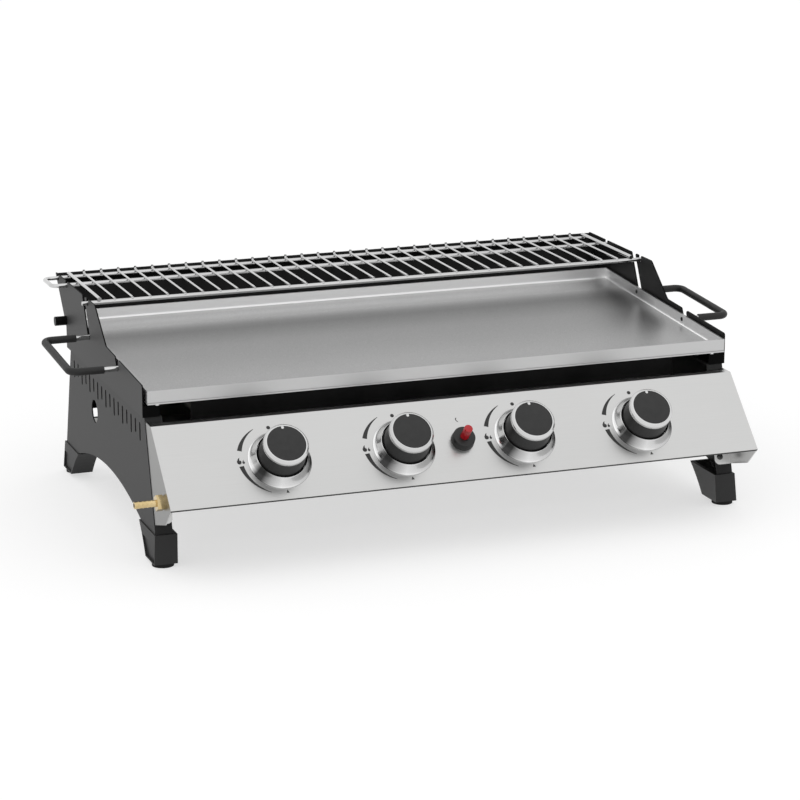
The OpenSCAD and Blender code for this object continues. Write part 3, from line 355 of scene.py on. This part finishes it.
def finishMaterial(name, s, patch):
    material, tree, shader = newMaterial(name, s["metal"])
    if "gloss" in s:
        shader.inputs["Specular IOR Level"].default_value = s["gloss"]
    plain = objectCoords(tree)
    patches = noise(tree, plain, s["scale"] / patch["coarser"], patch["detail"])
    colours = list(zip(patch["range"], (s["dark"], s["light"])))
    link(tree, ramp(tree, patches, colours), shader.inputs["Base Color"])
    link(tree, ranged(tree, patches, *s["rough"]), shader.inputs["Roughness"])
    if s["bump"]:
        bump(tree, shader, noise(tree, plain, s["scale"], patch["grainDetail"]), s["bump"], fineDistance)
    return material


# Finishes that change with the side of the piece, towards the station's middle, across, and outwards: painted
# shade darkens the inward and across faces of the shields and side panels and the across faces of the shoes,
# painted light brightens the shoes' inward faces, and the shields' across faces lose gloss
# Greys for faces turned inwards and across are painted shade; the shoes' inward grey is painted light; outward
# greys are the paint's own
sideLightAndShadeSet = {
    "shieldPaintAndShade": {"inside": 0.012, "across": 0.004, "outside": 0.042, "rough": 0.5, "gloss": 0.2,
                    "acrossGloss": 0.03},
    "sidePaintAndShade": {"inside": 0.02, "across": 0.018, "outside": 0.042, "rough": 0.52, "gloss": 0.2},
    "shoePlasticLightAndShade": {"inside": 0.15, "across": 0.026, "outside": 0.04, "rough": 0.55, "gloss": 0.3},
}
sideStops = [(0.15, "inside"), (0.35, "across"), (0.65, "across"), (0.85, "outside")]
sideGrain = {"noise": (600, 2), "bump": 0.04}


def sideLightAndShadeMaterial(name, s):
    material, tree, shader = newMaterial(name, 0.0)
    turned = ranged(tree, outwardShare(tree), 0, 1, -1, 1)
    # Painted light and shade by facing: each face takes the grey for the side it looks to
    greys = [(at, grey(s[side])) for at, side in sideStops]
    link(tree, ramp(tree, turned, greys), shader.inputs["Base Color"])
    shader.inputs["Specular IOR Level"].default_value = s["gloss"]
    if "acrossGloss" in s:
        gloss = {"inside": s["gloss"], "across": s["acrossGloss"], "outside": s["gloss"]}
        glosses = [(at, grey(gloss[side])) for at, side in sideStops]
        link(tree, ramp(tree, turned, glosses), shader.inputs["Specular IOR Level"])
    shader.inputs["Roughness"].default_value = s["rough"]
    grain = noise(tree, objectCoords(tree), *sideGrain["noise"])
    bump(tree, shader, grain, sideGrain["bump"], fineDistance)
    return material


# Bright plating on the bezels with painted reflections: soft dark streaks of a room painted round the ring: [share
# of a turn, grey]
bezelReflectionSet = {
    "round": [(0.0, 0.1), (0.04, 0.3), (0.1, 0.5), (0.3, 0.42), (0.42, 0.8), (0.53, 0.8), (0.57, 0.05),
              (0.61, 0.05), (0.66, 0.42), (0.72, 0.72), (0.88, 0.5), (0.93, 0.2), (0.96, 0.02),
              (0.99, 0.02)],
    "rough": 0.16,
}


def paintedReflectionMaterial(name, s):
    material, tree, shader = newMaterial(name, 1.0)
    shader.inputs["Roughness"].default_value = s["rough"]
    coords = tree.nodes.new("ShaderNodeTexCoord")
    turn = axisOf(tree, coords.outputs["UV"], "X")
    # Painted reflection: the grey runs round the ring in streaks
    link(tree, ramp(tree, turn, [(at, grey(g)) for at, g in s["round"]]), shader.inputs["Base Color"])
    return material


materials = {name: brushedMaterial(name, s, brushSet) for name, s in brushedSet.items()}
materials["panSteelReflections"] = panMaterial("panSteelReflections", panSet)
materials.update({name: sideLightAndShadeMaterial(name, s) for name, s in sideLightAndShadeSet.items()})
materials["reflectionChrome"] = paintedReflectionMaterial("reflectionChrome", bezelReflectionSet)
materials.update({name: finishMaterial(name, s, patchSet) for name, s in finishSet.items()})

finishOf = {
    "plate_steel": "panSteelReflections", "panel_steel": "panelSteelWithShade", "black_enamel": "blackEnamel",
    "grey_paint": "greyPaint", "chrome_parts": "chrome", "grip_sleeve": "sleeve",
    "knob_plastic": "knobSkirt", "black_plastic": "blackPlastic", "red_plastic": "redPlastic",
    "zinc_parts": "dullZinc", "valve_metal": "castMetal", "brass_parts": "brass",
    "tray_steel": "traySteel", "burner_steel": "burnerSteel", "white_ceramic": "ceramic",
    "lead_sleeve": "leadRed", "foot_plastic": "shoePlasticLightAndShade", "pad_rubber": "padRubber",
    "dark_screws": "darkSteel",
}
nodeFinish = {
    "left_shield": "shieldPaintAndShade", "right_shield": "shieldPaintAndShade", "left_side_panel": "sidePaintAndShade",
    "right_side_panel": "sidePaintAndShade", "side_pegs": "blackEnamel",
}
for subpart in frame["record"]["subparts"]:
    cadMesh = nodes[subpart["node"]].data
    cadMesh.materials.clear()
    cadMesh.materials.append(materials[nodeFinish.get(subpart["node"], finishOf[subpart["material_slot"]])])
print("materials made:", len(materials))

# Mesh helpers

mergeDistance = 1e-7
sharpAngle = math.radians(38)  # edges that turn by more than this stay sharp


def sceneObject(mesh, name):
    piece = bpy.data.objects.new(name, mesh)
    bpy.context.scene.collection.objects.link(piece)
    return piece


def finishPiece(mesh, name, material, body, smooth=True, replaced=()):
    piece = sceneObject(mesh, name)
    mesh.materials.clear()
    mesh.materials.append(materials[material])
    if smooth:
        mesh.shade_smooth()
        mesh.set_sharp_from_angle(angle=sharpAngle)
    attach(piece, body)
    if replaced:
        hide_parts(*replaced)


def meshFrom(bm, name, matrix=None):
    if matrix is not None:
        bm.transform(matrix)
    bmesh.ops.remove_doubles(bm, verts=bm.verts, dist=mergeDistance)
    bmesh.ops.recalc_face_normals(bm, faces=bm.faces)
    mesh = bpy.data.meshes.new(name)
    bm.to_mesh(mesh)
    bm.free()
    return mesh


def lathe(profile, steps=96):  # the profile is a closed loop of [radius, height]; u runs round the axis
    bm = bmesh.new()
    uv = bm.loops.layers.uv.new("UVMap")
    rings = []
    for k in range(steps):
        a = 2 * math.pi * k / steps
        rings.append([
            bm.verts.new((r * mm * math.cos(a), r * mm * math.sin(a), h * mm)) for r, h in profile])
    count = len(profile)
    for k in range(steps):
        here, there = rings[k], rings[(k + 1) % steps]
        for i in range(count):
            j = (i + 1) % count
            face = bm.faces.new((here[i], there[i], there[j], here[j]))
            for loop, turn in zip(face.loops, (k, k + 1, k + 1, k)):
                loop[uv].uv = (turn / steps, 0.5)
    return bm


def slab(outline, low, high, bm=None):  # a flat outline in mm given thickness along z
    bm = bm or bmesh.new()
    bottom = [bm.verts.new((x * mm, y * mm, low * mm)) for x, y in outline]
    top = [bm.verts.new((x * mm, y * mm, high * mm)) for x, y in outline]
    bm.faces.new(bottom[::-1])
    bm.faces.new(top)
    for i in range(len(outline)):
        j = (i + 1) % len(outline)
        bm.faces.new((bottom[i], bottom[j], top[j], top[i]))
    return bm


# Geometry Nodes: one tree sets copies of an object on points, the other draws a tube along a line


def newTree(name, inputs):
    tree = bpy.data.node_groups.new(name, "GeometryNodeTree")
    tree.interface.new_socket("Geometry", in_out="INPUT", socket_type="NodeSocketGeometry")
    for label, kind in inputs:
        tree.interface.new_socket(label, in_out="INPUT", socket_type=kind)
    tree.interface.new_socket("Finish", in_out="INPUT", socket_type="NodeSocketMaterial")
    tree.interface.new_socket("Geometry", in_out="OUTPUT", socket_type="NodeSocketGeometry")
    return tree, tree.nodes.new("NodeGroupInput")


def endTree(tree, source, geometry):  # makes the geometry real and paints it
    real = tree.nodes.new("GeometryNodeRealizeInstances")
    paint = tree.nodes.new("GeometryNodeSetMaterial")
    result = tree.nodes.new("NodeGroupOutput")
    link(tree, geometry, real.inputs["Geometry"])
    link(tree, real.outputs["Geometry"], paint.inputs["Geometry"])
    link(tree, source.outputs["Finish"], paint.inputs["Material"])
    link(tree, paint.outputs["Geometry"], result.inputs["Geometry"])
    return tree


def copiesTree():
    tree, source = newTree("copiesOnPoints", [("Copy", "NodeSocketObject"), ("Size", "NodeSocketFloat")])
    info = tree.nodes.new("GeometryNodeObjectInfo")
    turn = tree.nodes.new("GeometryNodeInputNamedAttribute")
    turn.data_type = "FLOAT_VECTOR"
    turn.inputs["Name"].default_value = "turn"
    put = tree.nodes.new("GeometryNodeInstanceOnPoints")
    link(tree, source.outputs["Copy"], info.inputs["Object"])
    link(tree, source.outputs["Geometry"], put.inputs["Points"])
    link(tree, info.outputs["Geometry"], put.inputs["Instance"])
    link(tree, turn.outputs["Attribute"], put.inputs["Rotation"])
    link(tree, source.outputs["Size"], put.inputs["Scale"])
    return endTree(tree, source, put.outputs["Instances"])


def tubeTree():
    tree, source = newTree("tubeAlongLine", [("Radius", "NodeSocketFloat"), ("Sides", "NodeSocketInt")])
    curve = tree.nodes.new("GeometryNodeMeshToCurve")
    circle = tree.nodes.new("GeometryNodeCurvePrimitiveCircle")
    sweep = tree.nodes.new("GeometryNodeCurveToMesh")
    sweep.inputs["Fill Caps"].default_value = True
    link(tree, source.outputs["Geometry"], curve.inputs["Mesh"])
    link(tree, source.outputs["Radius"], circle.inputs["Radius"])
    link(tree, source.outputs["Sides"], circle.inputs["Resolution"])
    link(tree, curve.outputs["Curve"], sweep.inputs["Curve"])
    link(tree, circle.outputs["Curve"], sweep.inputs["Profile Curve"])
    return endTree(tree, source, sweep.outputs["Mesh"])


trees = {"copies": copiesTree(), "tube": tubeTree()}


def grow(base, tree, values, name):  # runs a tree on a base object and returns the plain mesh
    modifier = base.modifiers.new("grow", "NODES")
    modifier.node_group = tree
    for socket in tree.interface.items_tree:
        if socket.item_type == "SOCKET" and socket.in_out == "INPUT" and socket.name in values:
            modifier[socket.identifier] = values[socket.name]
    graph = bpy.context.evaluated_depsgraph_get()
    graph.update()
    mesh = bpy.data.meshes.new_from_object(base.evaluated_get(graph), depsgraph=graph)
    base.modifiers.remove(modifier)
    bpy.data.objects.remove(base)
    mesh.name = name
    return mesh


def copies(name, seed, points, material, turns=(), size=1.0):
    seedObject = sceneObject(seed, name + "Seed")
    mesh = bpy.data.meshes.new(name + "Points")
    mesh.from_pydata([tuple(p) for p in points], [], [])
    if turns:
        attribute = mesh.attributes.new("turn", "FLOAT_VECTOR", "POINT")
        for i, turn in enumerate(turns):
            attribute.data[i].vector = turn
    base = sceneObject(mesh, name + "Points")
    values = {"Copy": seedObject, "Size": size, "Finish": materials[material]}
    grown = grow(base, trees["copies"], values, name)
    bpy.data.objects.remove(seedObject)
    return grown


def tube(name, path, radius, sides, material):
    mesh = bpy.data.meshes.new(name + "Line")
    mesh.from_pydata([tuple(p) for p in path], [(i, i + 1) for i in range(len(path) - 1)], [])
    base = sceneObject(mesh, name + "Line")
    values = {"Radius": radius * mm, "Sides": sides, "Finish": materials[material]}
    return grow(base, trees["tube"], values, name)


# Control face: every knob has its axis from its own joint, and the igniter stands a little above their row


def faceFrame(joint, foot=None):
    out = Vector(joint["axis"]).normalized()
    across = Vector((1, 0, 0))
    up = out.cross(across)
    matrix = Matrix((across, up, out)).transposed().to_4x4()
    matrix.translation = foot if foot is not None else Vector(joint["pos_m"])
    return matrix


knobFrames = [faceFrame(joints[f"knob_turn_{i}"]) for i in range(1, 5)]

knobSet = {
    "skirt": [
        (0, 33.5), (22.5, 33.5), (22.5, 30.4), (24.4, 30.4), (24.55, 29.9), (27.0, 8.4), (27.4, 7.4),
        (27.5, 6.6), (27.5, 5.0), (27.1, 4.6), (25.5, 4.6), (25.1, 5.0), (22.2, 27.0), (19.5, 30.0),
        (8, 30), (8, 9.6), (4.06, 9.6), (4.06, 24.2), (0, 24.2)],
    "ring": [
        (21.7, 33.4), (21.7, 36.3), (21.85, 36.6), (22.2, 36.75), (22.95, 36.75), (23.4, 36.4),
        (23.9, 35.9), (24.35, 35.4), (24.75, 34.95), (24.9, 34.85), (25.2, 34.55), (25.4, 34.1),
        (25.5, 33.5), (25.5, 31.0), (25.35, 30.5), (24.9, 30.25), (24.2, 30.2), (22.4, 30.3)],
    "cap": [(0, 36.45), (21.1, 36.45), (21.5, 36.3), (21.68, 35.95), (21.68, 33.55), (0, 33.55)],
    "pointer": {"inner": 18.4, "outer": 21.5, "width": 3.0, "low": 36.35, "high": 36.65, "arcStep": 20},
    "bezel": [
        (36, 0), (36, 0.6), (35.8, 0.95), (35.3, 1.1), (34.6, 1.4), (33.9, 1.95), (33.2, 2.75),
        (32.5, 3.8), (31.8, 5.05), (31.1, 6.5), (30.4, 8.15), (29.7, 10.0), (29.25, 11.4),
        (29.05, 11.85), (28.75, 12.0), (28.45, 11.9), (28.3, 11.5), (28.3, 0)],
    "chromeSteps": 128,
}


def pointerOutline(s):
    half = s["width"] / 2
    arc = [(half * math.cos(math.radians(a)), s["inner"] + half - half * math.sin(math.radians(a)))
           for a in range(0, 181, s["arcStep"])]
    return [(half, s["outer"])] + arc + [(-half, s["outer"])]


def makeKnobs(s):
    pointer = s["pointer"]
    for i, matrix in enumerate(knobFrames, 1):
        body = f"dial_{i}"
        skirt = meshFrom(lathe(s["skirt"]), f"knobSkirt_{i}", matrix)
        finishPiece(skirt, f"knobSkirt_{i}", "knobSkirt", body, replaced=[f"knob_{i}"])
        ring = meshFrom(lathe(s["ring"], s["chromeSteps"]), f"knobRing_{i}", matrix)
        finishPiece(ring, f"knobRing_{i}", "chrome", body)
        cap = meshFrom(lathe(s["cap"]), f"knobCap_{i}", matrix)
        finishPiece(cap, f"knobCap_{i}", "knobCap", body)
        bm = slab(pointerOutline(pointer), pointer["low"], pointer["high"])
        mark = meshFrom(bm, f"knobPointer_{i}", matrix)
        finishPiece(mark, f"knobPointer_{i}", "printWhite", body, smooth=False)
        bezel = meshFrom(lathe(s["bezel"], s["chromeSteps"]), f"bezelRing_{i}", matrix)
        finishPiece(bezel, f"bezelRing_{i}", "reflectionChrome", "frame",
                    replaced=[f"bezel_{i}"])


makeKnobs(knobSet)
print("knobs and bezels made")

# Marks printed on the face round each knob: off dot, two tapering arcs, two flames, triangle
markSet = {
    "low": -0.03,
    "high": 0.08,
    "dot": (-3.4, 42.0, 2.2),  # x, y, radius
    "dotStep": 15,
    "arcs": [(28, 72, 0.5, 5.4), (156, 97, 0.5, 5.4)],  # thin end, thick end, widths there
    "arcRadius": 44.6,
    "arcLift": 2.4,
    "arcSteps": 24,
    "flames": [(-45.6, 3.6, 1.2), (-40.8, 2.2, 0.7)],  # x, y, size
    "flame": [
        (-0.2, -3.4), (1.2, -3.0), (2.0, -1.8), (1.9, -0.4), (1.2, 0.8), (0.9, 0.0), (0.4, 1.0),
        (0.5, 2.4), (1.1, 3.6), (-0.4, 2.8), (-1.3, 1.4), (-1.4, 0.4), (-1.9, 0.9), (-2.2, -0.8),
        (-2.0, -2.2), (-1.2, -3.1)],
    "triangleAt": 39.2,
    "triangle": 1.9,
}


def around(radius, angle):  # angles run anticlockwise from twelve o'clock
    a = math.radians(angle)
    return (-radius * math.sin(a), radius * math.cos(a))


def taperedArc(thin, thick, thinWidth, thickWidth, radius, steps):
    inner, outer = [], []
    for k in range(steps + 1):
        t = k / steps
        width = thinWidth + (thickWidth - thinWidth) * t
        angle = thin + (thick - thin) * t
        inner.append(around(radius - width / 2, angle))
        outer.append(around(radius + width / 2, angle))
    return inner + outer[::-1]


def makeMarks(s):
    bm = bmesh.new()
    dx, dy, size = s["dot"]
    slab([(dx + size * math.cos(math.radians(a)), dy + size * math.sin(math.radians(a)))
          for a in range(0, 360, s["dotStep"])], s["low"], s["high"], bm)
    for ends in s["arcs"]:
        arc = taperedArc(*ends, s["arcRadius"], s["arcSteps"])
        slab([(x, y + s["arcLift"]) for x, y in arc], s["low"], s["high"], bm)
    for cx, cy, size in s["flames"]:
        slab([(cx + x * size, cy + y * size) for x, y in s["flame"]], s["low"], s["high"], bm)
    t, y = s["triangle"], -s["triangleAt"]
    slab([(0, y + t), (-t, y - t), (t, y - t)], s["low"], s["high"], bm)
    turned = knobFrames[0].copy()
    turned.translation = (0, 0, 0)
    seed = meshFrom(bm, "knobMarksSeed", turned)
    mesh = copies("knobMarks", seed, [m.translation for m in knobFrames], "printAndShadeBlack")
    finishPiece(mesh, "knobMarks", "printAndShadeBlack", "frame", smooth=False)


makeMarks(markSet)

# Igniter: collar with its threaded barrel, slim button, and a small spark mark above
sparkSet = {
    "across": -1.5,
    "up": 1.5,
    "collar": [
        (5.0, 9.1), (5.3, 9.45), (12.0, 9.5), (12.5, 9.3), (12.8, 8.8), (13.45, 0.5), (13.5, 0),
        (11, 0), (11, -39.4), (10.4, -40), (0, -40), (0, -10), (4.96, -10)],
    "button": [
        (0, 27), (4.0, 27), (4.55, 26.8), (4.85, 26.3), (4.9, 25.7), (4.9, -4.6), (4.5, -5), (0, -5)],
    "buttonSteps": 64,
    "mark": [
        (-0.9, 2.4), (-1.9, 0.9), (-1.9, -0.6), (-1.2, -1.9), (0.6, -3.4), (1.1, -3.0), (-0.3, -1.6),
        (-0.9, -0.5), (-0.9, 0.7), (0.1, 2.1)],
    "markAt": (0.6, 27.5),
}


def makeIgniter(s):
    row = knobFrames[0]
    foot = Vector((s["across"] * mm, *row.translation[1:])) + row.col[1].to_3d() * s["up"] * mm
    matrix = faceFrame(joints["igniter_press"], foot)
    collar = meshFrom(lathe(s["collar"]), "sparkCollar", matrix)
    finishPiece(collar, "sparkCollar", "blackPlastic", "frame", replaced=["igniter_body"])
    button = meshFrom(lathe(s["button"], s["buttonSteps"]), "sparkButton", matrix)
    finishPiece(button, "sparkButton", "redPlastic", "button", replaced=["igniter_button"])
    x0, y0 = s["markAt"]
    bm = slab([(x + x0, y + y0) for x, y in s["mark"]], markSet["low"], markSet["high"])
    mark = meshFrom(bm, "sparkMark", matrix)
    finishPiece(mark, "sparkMark", "printAndShadeBlack", "frame", smooth=False)


makeIgniter(sparkSet)
print("marks and igniter made")

# Dark lines painted as shade: a black strip along the face's hem, and dark strips for the shadow below the shields
hemShadeSet = {"half": 351.0, "below": 49.0, "deep": -3.0, "top": -0.1, "thick": 0.15}
seamShadowSet = {"x": 351.8, "thick": 0.3, "front": 8.0, "rear": 342.0, "top": -15.75, "low": -16.9}


def makeHemShade(s):
    # Painted shade: a thin black strip along the face's lower hem
    foot = Vector((0, *knobFrames[0].translation[1:]))
    half, y = s["half"], -s["below"]
    outline = [(-half, y - s["thick"]), (half, y - s["thick"]), (half, y), (-half, y)]
    mesh = meshFrom(slab(outline, s["deep"], s["top"]), "panelHem", faceFrame(joints["knob_turn_1"], foot))
    finishPiece(mesh, "panelHem", "printAndShadeBlack", "frame", smooth=False)


def makeSeamShadows(s):
    # Painted shadow: dark strips below the shields' lower edges
    bm = bmesh.new()
    for side in (-1, 1):
        corners = bmesh.ops.create_cube(bm, size=1)["verts"]
        a = place(side * s["x"], s["front"], s["low"])
        b = place(side * (s["x"] + s["thick"]), s["rear"], s["top"])
        size = [abs(b[i] - a[i]) for i in range(3)]
        middle = Matrix.Translation((a + b) / 2)
        bmesh.ops.transform(bm, verts=corners, matrix=middle @ Matrix.Diagonal((*size, 1)))
    mesh = meshFrom(bm, "shieldSeams")
    finishPiece(mesh, "shieldSeams", "blackEnamel", "frame", smooth=False)


makeHemShade(hemShadeSet)
makeSeamShadows(seamShadowSet)

# Handles: a bent rod, and a sleeve over most of it
handleSet = {
    "reach": 58.3,
    "armFront": 110.8,
    "armSpan": 129.7,
    "height": 9.5,
    "bend": 10.0,
    "rod": 3.0,
    "sleeve": 4.4,
    "sleeveStart": 20.0,
    "sides": 28,
    "bendSteps": 10,
}


def handlePath(s, side, start):
    bar, r = layout["halfWidth"] + s["reach"], s["bend"]
    first, last = s["armFront"], s["armFront"] + s["armSpan"]
    points = [(start, first)]
    for k in range(s["bendSteps"] + 1):
        a = math.radians(90 * k / s["bendSteps"])
        points.append((bar - r + r * math.sin(a), first + r - r * math.cos(a)))
    points += [(x, first + last - v) for x, v in reversed(points)]
    return [onPlate(side * x, v, s["height"]) for x, v in points]


def makeHandles(s):
    for side, label in ((-1, "left"), (1, "right")):
        rod = tube(f"{label}Rod", handlePath(s, side, layout["halfWidth"]), s["rod"], s["sides"], "chrome")
        finishPiece(rod, f"{label}Rod", "chrome", "griddle",
                    replaced=[f"{label}_handle_rod"])
        start = layout["halfWidth"] + s["sleeveStart"]
        sleeve = tube(f"{label}Sleeve", handlePath(s, side, start), s["sleeve"], s["sides"], "sleeve")
        finishPiece(sleeve, f"{label}Sleeve", "sleeve", "griddle",
                    replaced=[f"{label}_handle_grip"])


makeHandles(handleSet)

# The pan's floor meets its walls in a small hollow bend
bendSet = {"radius": 2.6, "wall": 2.0, "floor": 2.5, "depth": 337.0, "steps": 8, "sink": 0.05}


def makePanBend(s):
    section = [(-s["sink"], -s["sink"]), (s["radius"], -s["sink"])]
    for k in range(s["steps"] + 1):
        a = math.radians(90 * k / s["steps"])
        section.append((s["radius"] * (1 - math.sin(a)), s["radius"] * (1 - math.cos(a))))
    section.append((-s["sink"], s["radius"]))
    half = layout["halfWidth"] - s["wall"]
    bm = bmesh.new()
    loops = []
    for u, w in section:
        h = s["floor"] + w
        front, back = s["wall"] + u, s["depth"] - s["wall"] - u
        corners = [(-half + u, front), (half - u, front), (half - u, back), (-half + u, back)]
        loops.append([bm.verts.new(onPlate(x, v, h)) for x, v in corners])
    count = len(loops)
    for i in range(count):
        j = (i + 1) % count
        for k in range(4):
            m = (k + 1) % 4
            bm.faces.new((loops[i][k], loops[i][m], loops[j][m], loops[j][k]))
    finishPiece(meshFrom(bm, "panBend"), "panBend", "panSteelReflections", "griddle")


makePanBend(bendSet)
print("handles and pan bend made")

# Rack: small weld beads where the cross wires lie on the long wires
weldSet = {
    "rows": (243.07, 345.0, 388.0),
    "height": 64.2,
    "count": 31,
    "pitch": 21.4267,
    "barHalf": 340.0,
    "radius": 1.9,
    "stretch": (1, 1.25, 0.75),
    "around": 10,
    "rings": 6,
}


def makeWelds(s):
    bm = bmesh.new()
    bmesh.ops.create_uvsphere(bm, u_segments=s["around"], v_segments=s["rings"], radius=s["radius"] * mm)
    bm.transform(Matrix.Diagonal((*s["stretch"], 1)))
    seed = meshFrom(bm, "rackWeldsSeed")
    middle = (s["count"] - 1) / 2
    xs = [(i - middle) * s["pitch"] for i in range(s["count"])] + [-s["barHalf"], s["barHalf"]]
    points = [place(x, y, s["height"]) for x in xs for y in s["rows"]]
    mesh = copies("rackWelds", seed, points, "chrome")
    finishPiece(mesh, "rackWelds", "chrome", "rack")


makeWelds(weldSet)

# Screws with a cross recess: domed ones on the face's tabs and the shields' flanges, flat ones in the pan
screwSet = {
    "head": 3.6,
    "headHeight": 2.0,
    "rim": 0.35,  # share of the height below the dome
    "domeStep": 15,
    "cross": 2.0,
    "crossWidth": 0.7,
    "crossDeep": 0.9,
    "shank": 2.0,
    "length": 7,
    "steps": 32,
}
flatScrewSet = {
    **screwSet,
    "head": 2.6,
    "headHeight": 0.8,
    "cross": 1.3,
    "crossWidth": 1.3,
    "crossDeep": 0.6,
    "length": 12,
}
screwPlaces = {
    "tab": (337.2, -109.67, 1.2),
    "shieldX": 339.8,
    "shieldDepth": 335,
    "shieldShares": (0.12, 0.5, 0.88),
    "shieldZ": -14.2,
    "handleX": 348,
}
legSet = {"lean": 15.6, "front": 7.5, "top": -15.7}


def onLeg(x, up, out):
    a = math.radians(90 - legSet["lean"])
    y = legSet["front"] + up * math.cos(a) - out * math.sin(a)
    return place(x, y, legSet["top"] + up * math.sin(a) + out * math.cos(a))


def screwSeed(s, name):
    r, h, rim = s["head"], s["headHeight"], s["rim"]
    dome = [(r * math.cos(math.radians(a)), h * rim + h * (1 - rim) * math.sin(math.radians(a)))
            for a in range(0, 91, s["domeStep"])]
    shank = [(0, h), (0, -s["length"]), (s["shank"], -s["length"]), (s["shank"], 0)]
    screw = sceneObject(meshFrom(lathe([(r, 0)] + dome + shank, s["steps"]), name), name)
    cutter = bmesh.new()
    size = Matrix.Diagonal((2 * s["cross"] * mm, s["crossWidth"] * mm, 2 * s["crossDeep"] * mm, 1))
    for turn in (0, 90):
        bar = bmesh.ops.create_cube(cutter, size=1)["verts"]
        spot = Matrix.Translation((0, 0, h * mm)) @ Matrix.Rotation(math.radians(turn), 4, "Z")
        bmesh.ops.transform(cutter, verts=bar, matrix=spot @ size)
    tool = sceneObject(meshFrom(cutter, name + "Cross"), name + "Cross")
    cut = screw.modifiers.new("cross", "BOOLEAN")
    cut.operation = "DIFFERENCE"
    cut.solver = "EXACT"
    cut.use_self = True
    cut.object = tool
    graph = bpy.context.evaluated_depsgraph_get()
    mesh = bpy.data.meshes.new_from_object(screw.evaluated_get(graph))
    bpy.data.objects.remove(screw)
    bpy.data.objects.remove(tool)
    return mesh


def makeFrameScrews(s, places):
    x, up, out = places["tab"]
    points, turns = [], []
    for side in (-1, 1):
        points.append(onLeg(side * x, up, out))
        turns.append((math.radians(90) - math.radians(legSet["lean"]), 0, 0))
        for share in places["shieldShares"]:
            y = legSet["front"] + places["shieldDepth"] * share
            points.append(place(side * places["shieldX"], y, places["shieldZ"]))
            turns.append((0, 0, 0))
    mesh = copies("frameScrews", screwSeed(s, "frameScrewSeed"), points, "darkSteel", turns)
    finishPiece(mesh, "frameScrews", "darkSteel", "frame", replaced=["frame_screws"])


def makeHandleScrews(s, places, handle):
    points, turns = [], []
    for side in (-1, 1):
        for v in (handle["armFront"], handle["armFront"] + handle["armSpan"]):
            points.append(onPlate(side * places["handleX"], v, handle["height"]))
            turns.append((math.radians(layout["tilt"]), -side * math.radians(90), 0))
    mesh = copies("handleScrews", screwSeed(s, "handleScrewSeed"), points, "darkSteel", turns)
    finishPiece(mesh, "handleScrews", "darkSteel", "griddle", replaced=["handle_screws"])


makeFrameScrews(screwSet, screwPlaces)
makeHandleScrews(flatScrewSet, screwPlaces, handleSet)
print("welds and screws made")

# Studio: pale floor, plain white surroundings, soft lamps
studioSet = {
    "floor": 0.45,
    "floorHalf": 12,
    "floorZ": -0.0004,
    "floorLift": 0.6,
    "ambient": 0.9,
    "aim": (0, 0, 0.1),
    "lamps": [
        {"name": "topLamp", "place": (-0.6, -1.2, 3.2), "size": 3.5, "power": 8},
        {"name": "frontLamp", "place": (0.8, -3.2, 1.4), "size": 2.5, "power": 3},
    ],
}


def makeFloor(s):
    bm = bmesh.new()
    bmesh.ops.create_grid(bm, x_segments=1, y_segments=1, size=s["floorHalf"])
    mesh = bpy.data.meshes.new("studioFloor")
    bm.to_mesh(mesh)
    bm.free()
    floor = sceneObject(mesh, "studioFloor")
    floor.location = (0, 0, s["floorZ"])
    material, tree, shader = newMaterial("studioFloor", 0.0)
    shader.inputs["Roughness"].default_value = 1
    shader.inputs["Specular IOR Level"].default_value = 0
    shader.inputs["Base Color"].default_value = (*grey(s["floor"]), 1)
    shader.inputs["Emission Color"].default_value = (1, 1, 1, 1)
    link(tree, calc(tree, "MULTIPLY", rayShare(tree), s["floorLift"]), shader.inputs["Emission Strength"])
    mesh.materials.append(material)


def makeLight(s):
    world = bpy.data.worlds.new("studioWorld")
    world.use_nodes = True
    bpy.context.scene.world = world
    tree = world.node_tree
    back = tree.nodes["Background"]
    back.inputs["Color"].default_value = (1, 1, 1, 1)
    link(tree, ranged(tree, rayShare(tree), s["ambient"], 1, 0, 1), back.inputs["Strength"])
    for lamp in s["lamps"]:
        data = bpy.data.lights.new(lamp["name"], "AREA")
        data.size = lamp["size"]
        data.energy = lamp["power"]
        light = bpy.data.objects.new(lamp["name"], data)
        light.location = lamp["place"]
        light.rotation_euler = (Vector(s["aim"]) - light.location).to_track_quat("-Z", "Y").to_euler()
        bpy.context.scene.collection.objects.link(light)


makeFloor(studioSet)
makeLight(studioSet)
print("studio made")
